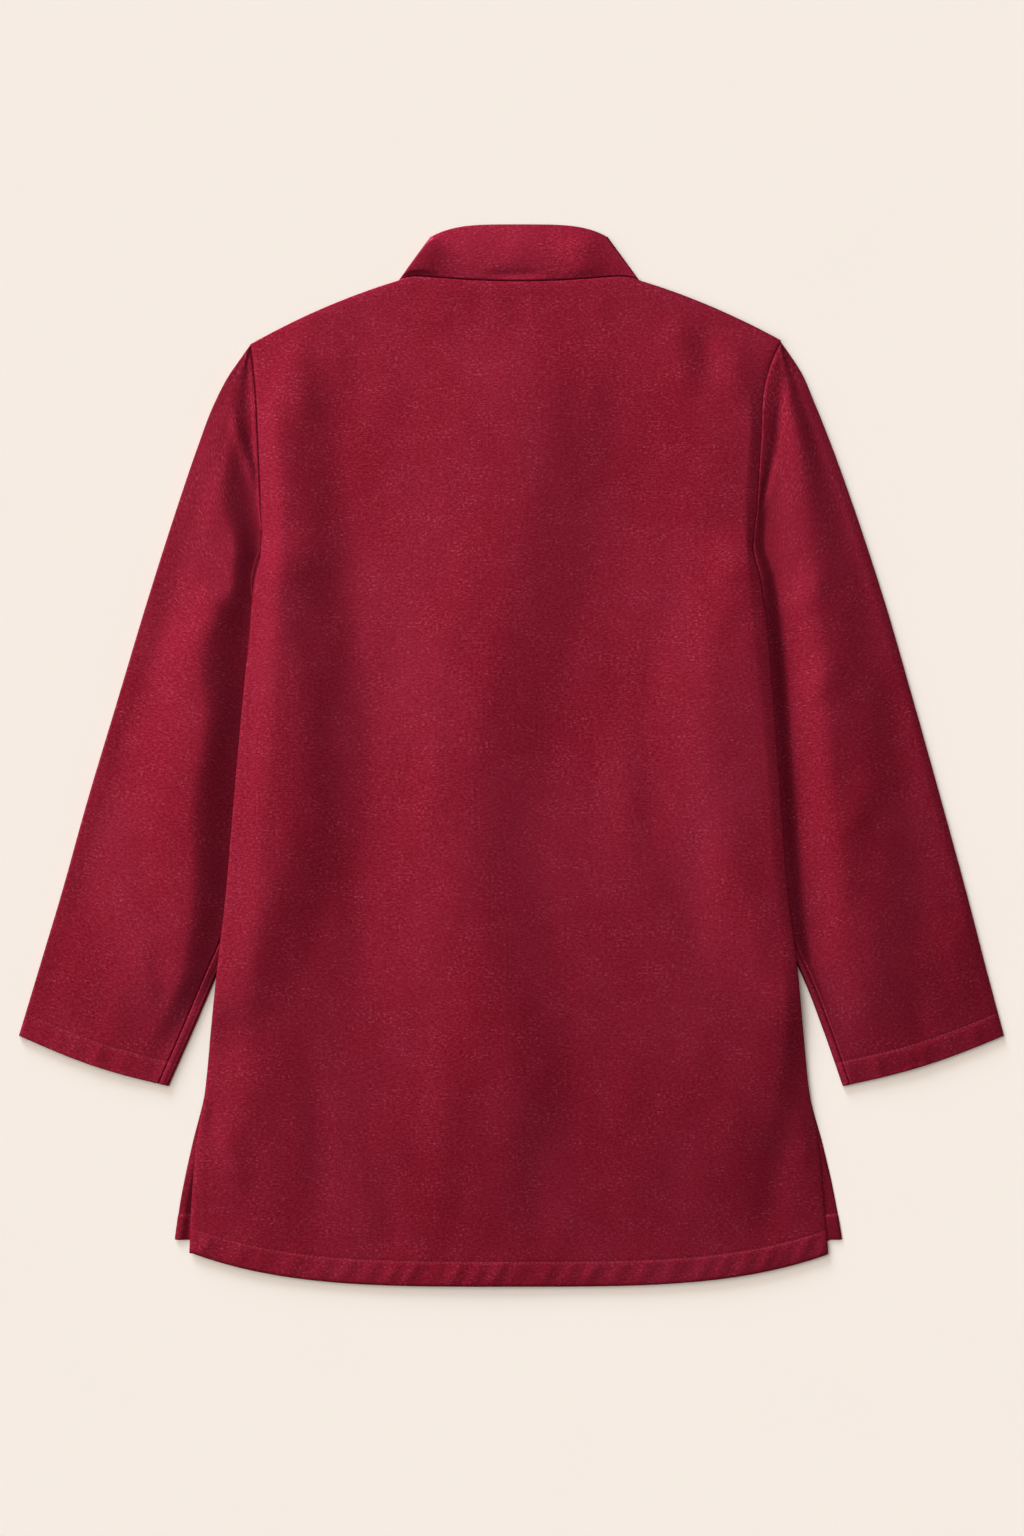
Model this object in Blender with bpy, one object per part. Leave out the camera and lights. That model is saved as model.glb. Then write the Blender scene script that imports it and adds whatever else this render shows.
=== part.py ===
"""Short kurta tunic laid flat, face down, its back side up: seven cut pieces as thin walls of cloth.

The collar points along +Y, the floor is z = 0, and all sizes below are in millimetres.
"""

from typing import NamedTuple

import bmesh
import bpy
import numpy as np

MM = 0.001

# Cloth and seams
PLY = 1.0
SEAM_GAP = 0.3
COLLAR_GAP = 0.45
ARMHOLE_GAP = 0.45
HEM_TURN = 19.0
CUFF_TURN = 18.0
HEM_RAISE = 0.4
STITCH_STEP = 1.0

# Heights of the lower ply, and of the upper ply where it lies on it
UPPER = PLY + SEAM_GAP
LIFT = 2 * PLY + 2 * SEAM_GAP
FOLD_RADIUS = PLY + SEAM_GAP / 2
FOLD_HOLLOW = SEAM_GAP / 2

# Crown of the upper ply away from its edges
BACK_CROWN = 1.5
BACK_CROWN_RUN = 24.0
SLEEVE_CROWN = 1.9
SLEEVE_CROWN_RUN = 26.0
SLEEVE_CLEAR = 10.0
COLLAR_CROWN = 0.8

# Neck and shoulders
NECK_MIDDLE = 6.0
NECK_HALF = 96.0
NECK_HEIGHT = 379.0
FRONT_NECK_DROP = 64.0
FRONT_NECK_POWER = 2.6
SHOULDER_SLOPE = 0.30
SHOULDER_BEND = 0.0011
SHOULDER_SIDE = 329.0

# Hem, and the front's shorter cut
HEM_SIDE = -398.0
HEM_DROP = 26.6
HEM_HALF = 255.0
HEM_POWER = 3.5
FRONT_SHORTER = 11.0
HEM_FALL = 9.0
HEM_EDGE_HEIGHT = 0.2
FLAP_ROOM = 0.5
HEM_BLEND = 250.0
TOP_BLEND = 230.0

# Where the body lies over the sleeves
UNDERARM = 160.0
LIFT_TOP_RUN = 16.0
LIFT_FULL_TO = -190.0
LIFT_GONE_AT = -218.0
LIFT_MARGIN = 8.0
LIFT_RUN = 26.0

# Collar, half of it on top and half below
COLLAR_TOP = 424.6
COLLAR_CORNER_DROP = 10.0
COLLAR_POWER = 5.0
COLLAR_TOP_HALF = 71.0
FRONT_COLLAR_HEIGHT = 44.0
FRONT_COLLAR_POWER = 1.8
COLLAR_ROWS = 5
COLLAR_OPEN = 1.6
SLOPE_STEP = 0.5
SLOPE_LIMIT = 1.8

# Neck opening strips
OPENING_LOW_ROW = 144.0
UNDER_STRIP_LEFT = 12.0
UNDER_STRIP_RIGHT = 24.0

FOLD_ARC_STEPS = 4
SEAM_INSET = 7.0
SHARP_ANGLE = 40.0


class Side(NamedTuple):
    """The body's side edges at one height, and how far the front's slit flap stands out there."""

    y: float
    left: float
    right: float
    flap: float


class SleeveEdge(NamedTuple):
    """One edge of both sleeves at one height."""

    y: float
    left: float
    right: float


class Station(NamedTuple):
    """A line across the sleeves: the heights of its outer and inner ends."""

    outer_y: float
    inner_y: float


class Fold(NamedTuple):
    """A soft ridge down the back panel: its line, its half width and its height."""

    top_y: float
    low_y: float
    top_x: float
    low_x: float
    half_width: float
    height: float


SIDES = (
    Side(329.0, -208.8, 215.0, 0.0),
    Side(318.0, -207.3, 209.6, 0.0),
    Side(300.0, -205.5, 203.6, 0.0),
    Side(250.0, -202.8, 199.2, 0.0),
    Side(200.0, -200.8, 196.1, 0.0),
    Side(160.0, -200.4, 194.0, 0.0),
    Side(142.0, -204.8, 198.9, 0.0),
    Side(104.0, -208.4, 203.6, 0.0),
    Side(30.0, -215.6, 210.0, 0.0),
    Side(-47.0, -222.4, 215.6, 0.0),
    Side(-113.0, -228.0, 220.8, 0.0),
    Side(-171.0, -234.8, 228.1, 0.0),
    Side(-216.0, -239.6, 232.4, 0.0),
    Side(-268.0, -244.8, 238.0, 0.0),
    Side(-308.0, -251.2, 245.2, 3.0),
    Side(-354.0, -255.3, 249.6, 8.6),
    Side(-398.0, -257.2, 252.8, 13.0),
)

SLEEVE_OUTER = (
    SleeveEdge(328.0, -209.6, 216.0),
    SleeveEdge(316.0, -217.8, 224.6),
    SleeveEdge(304.0, -226.0, 232.4),
    SleeveEdge(284.0, -236.4, 241.2),
    SleeveEdge(244.0, -251.6, 257.2),
    SleeveEdge(204.0, -265.2, 271.6),
    SleeveEdge(124.0, -290.8, 298.0),
    SleeveEdge(44.0, -314.8, 321.2),
    SleeveEdge(-36.0, -338.8, 343.6),
    SleeveEdge(-116.0, -361.2, 365.4),
    SleeveEdge(-170.0, -377.5, 379.4),
    SleeveEdge(-224.0, -393.8, 393.8),
)

SLEEVE_INNER = (
    SleeveEdge(160.0, -200.9, 194.5),
    SleeveEdge(150.0, -203.9, 197.7),
    SleeveEdge(142.0, -205.6, 199.6),
    SleeveEdge(134.0, -205.4, 199.4),
    SleeveEdge(126.0, -203.6, 197.4),
    SleeveEdge(108.0, -197.2, 190.8),
    SleeveEdge(84.0, -188.4, 182.8),
    SleeveEdge(52.0, -181.2, 175.6),
    SleeveEdge(20.0, -178.8, 173.2),
    SleeveEdge(-12.0, -180.4, 174.8),
    SleeveEdge(-44.0, -185.2, 179.6),
    SleeveEdge(-76.0, -194.0, 187.6),
    SleeveEdge(-108.0, -206.0, 199.6),
    SleeveEdge(-140.0, -219.6, 214.5),
    SleeveEdge(-178.0, -236.4, 233.0),
    SleeveEdge(-222.0, -255.2, 250.0),
    SleeveEdge(-264.4, -274.0, 264.8),
)

SLEEVE_STATIONS = (
    Station(328.0, 160.0),
    Station(306.0, 155.0),
    Station(282.0, 149.0),
    Station(252.0, 142.0),
    Station(216.0, 132.0),
    Station(168.0, 112.0),
    Station(120.0, 86.0),
    Station(86.0, 52.0),
    Station(52.0, 16.0),
    Station(16.0, -22.0),
    Station(-22.0, -62.0),
    Station(-64.0, -106.0),
    Station(-104.0, -146.0),
    Station(-142.0, -184.0),
    Station(-176.0, -218.0),
)

BACK_FOLDS = (
    Fold(300.0, -360.0, -181.0, -206.0, 46.0, 1.5),
    Fold(340.0, -400.0, 16.0, -28.0, 72.0, 1.9),
    Fold(300.0, -370.0, 184.0, 204.0, 62.0, 1.6),
)

# How fast the back's folds fade at both ends, and how much of them is left at the hem
FOLD_FADE = 4.0
FOLD_AT_HEM = 0.6

# The soft fold down a sleeve: height, and place and half width as shares of the sleeve's width
SLEEVE_FOLD_HEIGHT = 1.2
SLEEVE_FOLD_PLACE = 0.42
SLEEVE_FOLD_WIDTH = 0.26
SLEEVE_FOLD_FADE = 6.0
SLEEVE_FOLD_AT_CUFF = 0.35

# Stations that the armhole's bend and the cuff's bow fade over
ARMHOLE_BEND_STATIONS = 4
CUFF_BOW_STATIONS = 5
CUFF_BOW = 4.0
CUFF_RAISE_RUN = 0.5

BACK_HEM_ROWS = (-398.0, -389.0, -379.5, -378.5)
FRONT_HEM_ROWS = (-387.0, -378.0, -368.5, -367.5)
SIDE_ROWS = (
    *(-352.0, -324.0, -296.0, -268.0, -242.0, -218.0, -204.0, -190.0, -171.0, -138.0, -100.0),
    *(-60.0, -20.0, 20.0, 60.0, 96.0, 120.0, 134.0, 144.0, 152.0),
)
ARMHOLE_ROWS = (160.0, 186.0, 212.0, 240.0, 268.0, 292.0, 312.0, 329.0)
EDGE_COLUMNS = (0.0, 6.0, 14.0, 22.0, 30.0, 40.0, 54.0, 74.0, 96.0)
NECK_COLUMNS = (-90.0, -82.0, -70.0, -52.0, -30.0, -9.0, 6.0, 21.0, 42.0, 64.0, 82.0, 94.0, 102.0)


def ease(value):
    """A smooth step from 0 to 1 while the value goes from 0 to 1."""
    t = np.clip(value, 0.0, 1.0)
    return t * t * (3.0 - 2.0 * t)


def smooth_read(rows, column, at):
    """Read a table's column at any height, along one smooth curve through its rows."""
    ordered = sorted(rows, key=lambda row: row.y)
    xs = np.array([row.y for row in ordered])
    ys = np.array([getattr(row, column) for row in ordered])
    slopes = np.gradient(ys, xs)
    at = np.clip(np.asarray(at, float), xs[0], xs[-1])
    i = np.clip(np.searchsorted(xs, at, side="right") - 1, 0, len(xs) - 2)
    step = xs[i + 1] - xs[i]
    t = (at - xs[i]) / step
    start = (1 + 2 * t) * (1 - t) ** 2 * ys[i] + t * (1 - t) ** 2 * step * slopes[i]
    end = t * t * (3 - 2 * t) * ys[i + 1] - t * t * (1 - t) * step * slopes[i + 1]
    return start + end


def hem_height(x):
    """The back's hem: lowest in the middle, rising to the corners."""
    return HEM_SIDE - HEM_DROP * (1.0 - np.clip(np.abs(x) / HEM_HALF, 0.0, 1.0) ** HEM_POWER)


def shoulder_height(x):
    """The shoulder seam's height, falling away from the neck with a slight bend."""
    away = np.maximum(np.abs(x - NECK_MIDDLE) - NECK_HALF, 0.0)
    return NECK_HEIGHT - SHOULDER_SLOPE * away - SHOULDER_BEND * away**2


def back_neck_height(x):
    """The back neck seam: a shallow dip between two small rises beside the shoulders."""
    u = np.clip((x - NECK_MIDDLE) / NECK_HALF, -1.0, 1.0)
    return NECK_HEIGHT - 1.0 + 6.5 * u**2 - 5.5 * u**12


def front_neck_height(x):
    """The front neckline: a rounded U."""
    u = np.clip(np.abs(x - NECK_MIDDLE) / NECK_HALF, 0.0, 1.0)
    return NECK_HEIGHT - FRONT_NECK_DROP * (1.0 - u**FRONT_NECK_POWER)


def top_height(x, neck_height):
    """A panel's top edge: neckline in the middle, shoulder seams beside it."""
    in_neck = np.abs(x - NECK_MIDDLE) <= NECK_HALF
    return np.where(in_neck, neck_height(x), shoulder_height(x))


def column_shares():
    """The panels' columns as shares of the width, close together at the sides and by the neck."""
    left, right = SIDES[0].left, SIDES[0].right
    width = right - left
    near_left = [inset / width for inset in EDGE_COLUMNS]
    neck = [(x - left) / width for x in NECK_COLUMNS]
    near_right = [1.0 - share for share in reversed(near_left)]
    return np.array(near_left + neck + near_right)


def lift(x, y):
    """Share of the lift over the sleeves, which lie under the body between underarm and elbow."""
    down = ease((UNDERARM - y) / LIFT_TOP_RUN) * ease((y - LIFT_GONE_AT) / (LIFT_FULL_TO - LIFT_GONE_AT))
    left = smooth_read(SLEEVE_INNER, "left", y) + LIFT_MARGIN
    right = smooth_read(SLEEVE_INNER, "right", y) - LIFT_MARGIN
    over_left = 1.0 - ease((x - left) / LIFT_RUN)
    over_right = 1.0 - ease((right - x) / LIFT_RUN)
    return down * np.maximum(over_left, over_right)


def panel_plan(hem_rows, shorter, neck_height, with_flap):
    """Plan of a panel: x and y of its grid, rows from hem to shoulder, columns left to right."""
    rows = np.array(hem_rows + SIDE_ROWS + ARMHOLE_ROWS)
    share = column_shares()[None, :]
    flap = smooth_read(SIDES, "flap", rows) if with_flap else np.zeros(len(rows))
    left = (smooth_read(SIDES, "left", rows) - flap)[:, None]
    right = (smooth_read(SIDES, "right", rows) + flap)[:, None]
    x = left + share * (right - left)
    top_x = x[-1]
    hem_weight = 1.0 - ease((rows - HEM_SIDE - HEM_TURN) / HEM_BLEND)
    top_weight = ease(1.0 - (SHOULDER_SIDE - rows) / TOP_BLEND)
    hem_part = hem_weight[:, None] * (hem_height(x) - HEM_SIDE)
    top_part = top_weight[:, None] * (top_height(top_x, neck_height) - SHOULDER_SIDE)[None, :]
    y = rows[:, None] + hem_part + top_part
    depth = np.broadcast_to((rows - HEM_SIDE - shorter)[:, None], x.shape)
    return x, y, depth


def edge_share(x, y, run):
    """How far in a point lies from the sides, shoulders and neck, as an eased share of a run."""
    left = smooth_read(SIDES, "left", y)
    right = smooth_read(SIDES, "right", y)
    above = top_height(x, back_neck_height) - y
    return ease((x - left) / run) * ease((right - x) / run) * ease(above / run)


def fold_height(x, y):
    """Height of the soft ridges: a cosine bell across, fading out at both ends."""
    height = np.zeros_like(x)
    for fold in BACK_FOLDS:
        along = (fold.top_y - y) / (fold.top_y - fold.low_y)
        line = fold.top_x + along * (fold.low_x - fold.top_x)
        across = np.clip(np.abs(x - line) / fold.half_width, 0.0, 1.0)
        fade = ease(FOLD_FADE * along) * ease(FOLD_FADE * (1.0 - along) + FOLD_AT_HEM)
        height += fold.height * fade * 0.5 * (1.0 + np.cos(np.pi * across))
    return height


def front_wall():
    """The front panel, face down on the floor: outer face below, with the neck opening cut out."""
    x, y, depth = panel_plan(FRONT_HEM_ROWS, FRONT_SHORTER, front_neck_height, True)
    below = LIFT * lift(x, y)
    above = below + PLY + HEM_RAISE * (depth < HEM_TURN)
    return x, y, below, above


def back_wall():
    """The back panel over the front: its edges rest on the front's, its middle is softly crowned."""
    x, y, depth = panel_plan(BACK_HEM_ROWS, 0.0, back_neck_height, False)
    inward = edge_share(x, y, BACK_CROWN_RUN)
    hem_fade = ease((depth - HEM_FALL) / (2.0 * HEM_TURN))
    fall = ease(depth / HEM_FALL)
    flaps = FLAP_ROOM * ease(1.0 - (depth - HEM_TURN) / HEM_TURN)
    below = LIFT * lift(x, y) + UPPER + inward * hem_fade * (BACK_CROWN + fold_height(x, y))
    below = (below + flaps) * fall + HEM_EDGE_HEIGHT * (1.0 - fall)
    above = below + PLY + HEM_RAISE * (depth < HEM_TURN)
    return x, y, below, above


def wall_mesh(name, outer, inner, kept=None):
    """One closed wall between two grids of points, with only the kept cells and a rim round them."""
    rows, columns = outer.shape[:2]
    kept = np.ones((rows - 1, columns - 1), bool) if kept is None else kept
    mesh = bmesh.new()
    faces = []
    sheets = []
    for points in (outer, inner):
        used = {}
        for i, j in np.argwhere(kept):
            for corner in ((i, j), (i + 1, j), (i, j + 1), (i + 1, j + 1)):
                if corner not in used:
                    used[corner] = mesh.verts.new(points[corner] * MM)
        sheets.append(used)
    for i, j in np.argwhere(kept):
        ring = ((i, j), (i, j + 1), (i + 1, j + 1), (i + 1, j))
        faces.append([sheets[0][corner] for corner in ring])
        faces.append([sheets[1][corner] for corner in reversed(ring)])
        beside = ((i - 1, j), (i, j + 1), (i + 1, j), (i, j - 1))
        for side, (a, b) in enumerate(zip(ring, ring[1:] + ring[:1])):
            k, m = beside[side]
            inside = 0 <= k < rows - 1 and 0 <= m < columns - 1 and kept[k, m]
            if not inside:
                faces.append([sheets[0][b], sheets[0][a], sheets[1][a], sheets[1][b]])
    for face in faces:
        mesh.faces.new(face)
    bmesh.ops.recalc_face_normals(mesh, faces=mesh.faces[:])
    bmesh.ops.triangulate(mesh, faces=mesh.faces[:])
    data = bpy.data.meshes.new(name)
    mesh.to_mesh(data)
    mesh.free()
    return data


def add_piece(name, data, material):
    """Put a mesh in the scene as a named object with its material, shaded smooth but for its rims."""
    data.materials.append(material)
    data.shade_smooth()
    data.set_sharp_from_angle(angle=np.radians(SHARP_ANGLE))
    piece = bpy.data.objects.new(name, data)
    bpy.context.scene.collection.objects.link(piece)
    return piece


def silk(name, color, roughness):
    """A Principled cloth with a soft sheen."""
    material = bpy.data.materials.new(name)
    material.use_nodes = True
    shader = material.node_tree.nodes["Principled BSDF"]
    shader.inputs["Base Color"].default_value = (*color, 1.0)
    shader.inputs["Roughness"].default_value = roughness
    shader.inputs["Metallic"].default_value = 0.0
    shader.inputs["Sheen Weight"].default_value = 0.3
    return material


def opening_cells():
    """First row, and first and last column, of the cells that the neck opening takes out."""
    centre = NECK_COLUMNS.index(NECK_MIDDLE) + len(EDGE_COLUMNS)
    first = (FRONT_HEM_ROWS + SIDE_ROWS).index(OPENING_LOW_ROW)
    return first, centre - 1, centre + 1


def make_body(material):
    """Front and back panels, and the two strips of the front's neck opening."""
    x, y, below, above = front_wall()
    first, left, right = opening_cells()
    kept = np.ones((x.shape[0] - 1, x.shape[1] - 1), bool)
    kept[first:, left:right] = False
    outer = np.stack([x, y, below], axis=-1)
    inner = np.stack([x, y, above], axis=-1)
    add_piece("front_panel", wall_mesh("front_panel", outer, inner, kept), material)

    over_x = x[first:, left : right + 1].copy()
    over_y = y[first:, left : right + 1].copy()
    over_x[:, 0] += SEAM_GAP
    over_x[:, -1] -= SEAM_GAP
    over_y[0] += SEAM_GAP
    outer = np.stack([over_x, over_y, np.zeros_like(over_x)], axis=-1)
    inner = outer + np.array([0.0, 0.0, PLY])
    add_piece("placket_over", wall_mesh("placket_over", outer, inner), material)

    under_y = y[first - 1 :, left : right + 2].copy()
    middle = x[first - 1 :, left + 1]
    spans = np.linspace(-UNDER_STRIP_LEFT, UNDER_STRIP_RIGHT, under_y.shape[1])
    under_x = middle[:, None] + spans[None, :]
    under_y[-1] = top_height(under_x[-1], front_neck_height)
    outer = np.stack([under_x, under_y, np.full_like(under_x, UPPER)], axis=-1)
    inner = outer + np.array([0.0, 0.0, PLY])
    add_piece("placket_under", wall_mesh("placket_under", outer, inner), material)

    x, y, below, above = back_wall()
    outer = np.stack([x, y, above], axis=-1)
    inner = np.stack([x, y, below], axis=-1)
    add_piece("back_panel", wall_mesh("back_panel", outer, inner), material)
    return x, y


def fold_arc():
    """Cosines and sines of the angles round a folded edge, from the top ply down to the lower one."""
    angle = np.linspace(np.pi / 2, -np.pi / 2, FOLD_ARC_STEPS + 1)[1:-1]
    return np.cos(angle), np.sin(angle)


def sleeve_plan(column, armhole):
    """Outer and inner edge points at each station down the sleeve, the cuff's turn-up last."""
    stations = list(SLEEVE_STATIONS)
    end = Station(SLEEVE_OUTER[-1].y, SLEEVE_INNER[-1].y)
    for back in (CUFF_TURN + STITCH_STEP / 2, CUFF_TURN - STITCH_STEP / 2, 0.0):
        stations.append(Station(end.outer_y + back, end.inner_y + back))
    outer_y = np.array([station.outer_y for station in stations])
    inner_y = np.array([station.inner_y for station in stations])
    outer = np.stack([smooth_read(SLEEVE_OUTER, column, outer_y), outer_y], axis=-1)
    inner = np.stack([smooth_read(SLEEVE_INNER, column, inner_y), inner_y], axis=-1)
    outer[0] = armhole[-1]
    inner[0] = armhole[0]
    return outer, inner


def make_sleeve(name, column, armhole, material):
    """A sleeve pressed flat: a wall folded at both edges and open along its underarm seam.

    Its armhole edge follows the panels' armhole points, so its columns share their heights.
    """
    outer, inner = sleeve_plan(column, armhole)
    count = len(outer)
    side = -1.0 if column == "left" else 1.0
    width = np.linalg.norm(inner - outer, axis=1)
    toward = (inner - outer) / width[:, None]

    heights = armhole[:, 1]
    share_at_arm = (heights[-1] - heights[::-1]) / (heights[-1] - heights[0])
    shares = share_at_arm[:-1]
    chord = outer[0] + share_at_arm[:, None] * (inner[0] - outer[0])
    bow = armhole[::-1] - chord
    station = np.arange(count)
    decay = np.clip(1.0 - station / ARMHOLE_BEND_STATIONS, 0.0, 1.0) ** 2
    cuff_bow = CUFF_BOW * ease(1.0 - (count - 1 - station) / CUFF_BOW_STATIONS)

    def plan_at(share):
        """Plan points down the sleeve at a share of its width, kept a fold's radius inside."""
        inset = FOLD_RADIUS / width
        share = np.broadcast_to(share, (count,))
        kept = inset + share * (1.0 - 2.0 * inset)
        point = outer + (kept * width)[:, None] * toward
        bend = np.column_stack([np.interp(share, share_at_arm, bow[:, k]) for k in (0, 1)])
        point = point + decay[:, None] * bend
        point[:, 1] -= cuff_bow * np.sin(np.pi * share)
        return point

    def puff(point, share):
        """Rise of the top ply: a crown that stays flat at the edges and wherever the body covers."""
        body = smooth_read(SIDES, column, point[:, 1])
        clear = side * (point[:, 0] - body) - SLEEVE_CLEAR
        clear = np.where(point[:, 1] > UNDERARM, clear + SLEEVE_CLEAR, clear)
        in_from_outer = share * width
        in_from_inner = (1.0 - share) * width
        flat = ease(clear / SLEEVE_CROWN_RUN) * ease(in_from_outer / SLEEVE_CROWN_RUN)
        flat = flat * ease(in_from_inner / SLEEVE_CROWN_RUN)
        down = np.linspace(0.0, 1.0, count)
        at_cuff = SLEEVE_FOLD_AT_CUFF + (1.0 - SLEEVE_FOLD_AT_CUFF) * ease(SLEEVE_FOLD_FADE * (1.0 - down))
        ends = ease(SLEEVE_FOLD_FADE * down) * at_cuff
        bell = np.clip(np.abs(share - SLEEVE_FOLD_PLACE) / SLEEVE_FOLD_WIDTH, 0.0, 1.0)
        fold = SLEEVE_FOLD_HEIGHT * 0.5 * (1.0 + np.cos(np.pi * bell))
        return flat * ends * (SLEEVE_CROWN + fold)

    raised = np.zeros(count)
    raised[-2:] = HEM_RAISE
    middle = FOLD_RADIUS
    outer_lines = []
    inner_lines = []

    def add_flat(share, top):
        """One line down the top or the lower ply."""
        point = plan_at(share)
        rise = puff(point, share) if top else np.zeros(count)
        sign = 1.0 if top else -1.0
        thick = raised * np.clip(rise / CUFF_RAISE_RUN, 0.0, 1.0) if top else np.zeros(count)
        high = middle + sign * FOLD_RADIUS + rise + thick
        low = middle + sign * FOLD_HOLLOW + rise
        outer_lines.append(np.column_stack([point, high]))
        inner_lines.append(np.column_stack([point, low]))

    def add_fold(share, downward):
        """The rounded edge at share 0 or 1, from one ply to the other."""
        point = plan_at(share)
        away = -toward if share == 0.0 else toward
        cosines, sines = fold_arc()
        if not downward:
            sines = -sines
        for cosine, sine in zip(cosines, sines):
            for lines, radius in ((outer_lines, FOLD_RADIUS), (inner_lines, FOLD_HOLLOW)):
                plan = point + away * radius * cosine
                lines.append(np.column_stack([plan, np.full(count, middle + radius * sine)]))

    seam_share = 1.0 - SEAM_INSET / width
    gap_share = SEAM_GAP / width

    def add_seam_edge(shares_down):
        """A free edge of the top ply beside the underarm seam."""
        point = plan_at(shares_down)
        outer_lines.append(np.column_stack([point, np.full(count, middle + FOLD_RADIUS)]))
        inner_lines.append(np.column_stack([point, np.full(count, middle + FOLD_HOLLOW)]))

    add_seam_edge(seam_share - gap_share)
    for share in shares[::-1]:
        add_flat(share, True)
    add_fold(0.0, True)
    for share in shares:
        add_flat(share, False)
    add_flat(1.0, False)
    add_fold(1.0, False)
    add_flat(1.0, True)
    add_seam_edge(seam_share)

    data = wall_mesh(name, np.array(outer_lines), np.array(inner_lines))
    add_piece(name, data, material)


def make_collar(material):
    """The band collar pressed flat: back half on top, front halves below, open at centre front."""
    columns = np.array(NECK_COLUMNS)
    rise = np.linspace(0.0, 1.0, COLLAR_ROWS)

    def seam_line(neck_height, at):
        """Points along a neckline, moved up from it by the gap."""
        slope = (neck_height(at + SLOPE_STEP) - neck_height(at - SLOPE_STEP)) / (2.0 * SLOPE_STEP)
        slope = np.clip(slope, -SLOPE_LIMIT, SLOPE_LIMIT)
        length = np.hypot(1.0, slope)
        return np.column_stack([at - COLLAR_GAP * slope / length, neck_height(at) + COLLAR_GAP / length])

    def top_line(at):
        """The collar's upper edge above each seam point, flat with rounded corners."""
        share = (at - NECK_MIDDLE) / NECK_HALF
        return np.column_stack([
            NECK_MIDDLE + COLLAR_TOP_HALF * share,
            COLLAR_TOP - COLLAR_CORNER_DROP * np.abs(share) ** COLLAR_POWER,
        ])

    def front_top_line(at):
        """The front half's upper edge, which dips with the front neckline."""
        share = np.abs(at - NECK_MIDDLE) / NECK_HALF
        corner = COLLAR_TOP - COLLAR_CORNER_DROP
        low = NECK_HEIGHT - FRONT_NECK_DROP + FRONT_COLLAR_HEIGHT
        x = NECK_MIDDLE + COLLAR_TOP_HALF * (at - NECK_MIDDLE) / NECK_HALF
        return np.column_stack([x, low + (corner - low) * share**FRONT_COLLAR_POWER])

    outer_lines = []
    inner_lines = []

    def add_line(low, high, top, rise_middle):
        """A line across the band from its seam to its upper edge, on the top or the lower ply."""
        point = low[None, :] + rise[:, None] * (high - low)[None, :]
        sign = 1.0 if top else -1.0
        crown = COLLAR_CROWN * rise_middle * np.sin(np.pi * rise) if top else np.zeros(COLLAR_ROWS)
        base = FOLD_RADIUS + crown
        outer_lines.append(np.column_stack([point, base + sign * FOLD_RADIUS]))
        inner_lines.append(np.column_stack([point, base + sign * FOLD_HOLLOW]))

    def add_fold(low, high, side, upward):
        """The rounded side edge of the flattened band."""
        point = low[None, :] + rise[:, None] * (high - low)[None, :]
        along = (high - low) / np.linalg.norm(high - low)
        away = np.array([-along[1], along[0]]) * (1.0 if side < 0 else -1.0)
        cosines, sines = fold_arc()
        if upward:
            sines = -sines
        for cosine, sine in zip(cosines, sines):
            for lines, radius in ((outer_lines, FOLD_RADIUS), (inner_lines, FOLD_HOLLOW)):
                plan = point + away[None, :] * radius * cosine
                lines.append(np.column_stack([plan, np.full(COLLAR_ROWS, FOLD_RADIUS + radius * sine)]))

    inset = np.array([FOLD_RADIUS, 0.0])
    fold_left = (seam_line(back_neck_height, columns[:1])[0] + inset, top_line(columns[:1])[0] + inset)
    fold_right = (seam_line(back_neck_height, columns[-1:])[0] - inset, top_line(columns[-1:])[0] - inset)

    left = columns[(columns > columns[0]) & (columns < NECK_MIDDLE)]
    right = columns[(columns > NECK_MIDDLE) & (columns < columns[-1])]
    opening = np.array([COLLAR_OPEN / 2.0, 0.0])
    middle = np.array([NECK_MIDDLE])
    low_middle = seam_line(front_neck_height, middle)[0]
    high_middle = front_top_line(middle)[0]

    add_line(low_middle - opening, high_middle - opening, False, 0.0)
    for at in left[::-1]:
        spot = np.array([at])
        add_line(seam_line(front_neck_height, spot)[0], front_top_line(spot)[0], False, 0.0)
    add_line(*fold_left, False, 0.0)
    add_fold(*fold_left, -1, True)
    add_line(*fold_left, True, 0.0)
    for at in columns[1:-1]:
        spot = np.array([at])
        bell = 1.0 - ((at - NECK_MIDDLE) / NECK_HALF) ** 2
        add_line(seam_line(back_neck_height, spot)[0], top_line(spot)[0], True, bell)
    add_line(*fold_right, True, 0.0)
    add_fold(*fold_right, 1, False)
    add_line(*fold_right, False, 0.0)
    for at in right[::-1]:
        spot = np.array([at])
        add_line(seam_line(front_neck_height, spot)[0], front_top_line(spot)[0], False, 0.0)
    add_line(low_middle + opening, high_middle + opening, False, 0.0)

    data = wall_mesh("collar", np.array(outer_lines), np.array(inner_lines))
    add_piece("collar", data, material)


def armhole_points(x, y, column, side):
    """Points of the panels' armhole edge, underarm to shoulder, moved out by the seam gap."""
    count = len(ARMHOLE_ROWS)
    points = np.column_stack([x[-count:, column], y[-count:, column]])
    points[:, 0] += side * ARMHOLE_GAP
    return points


def main():
    """Clear the scene and make every piece."""
    for thing in list(bpy.data.objects):
        bpy.data.objects.remove(thing)
    body = silk("maroon silk", (0.212, 0.010, 0.024), 0.5)
    sleeve = silk("maroon silk sleeve", (0.212, 0.010, 0.024), 0.5)
    band = silk("maroon silk collar", (0.20, 0.009, 0.022), 0.52)
    x, y = make_body(body)
    make_sleeve("sleeve_left", "left", armhole_points(x, y, 0, -1.0), sleeve)
    make_sleeve("sleeve_right", "right", armhole_points(x, y, -1, 1.0), sleeve)
    make_collar(band)


main()
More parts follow.
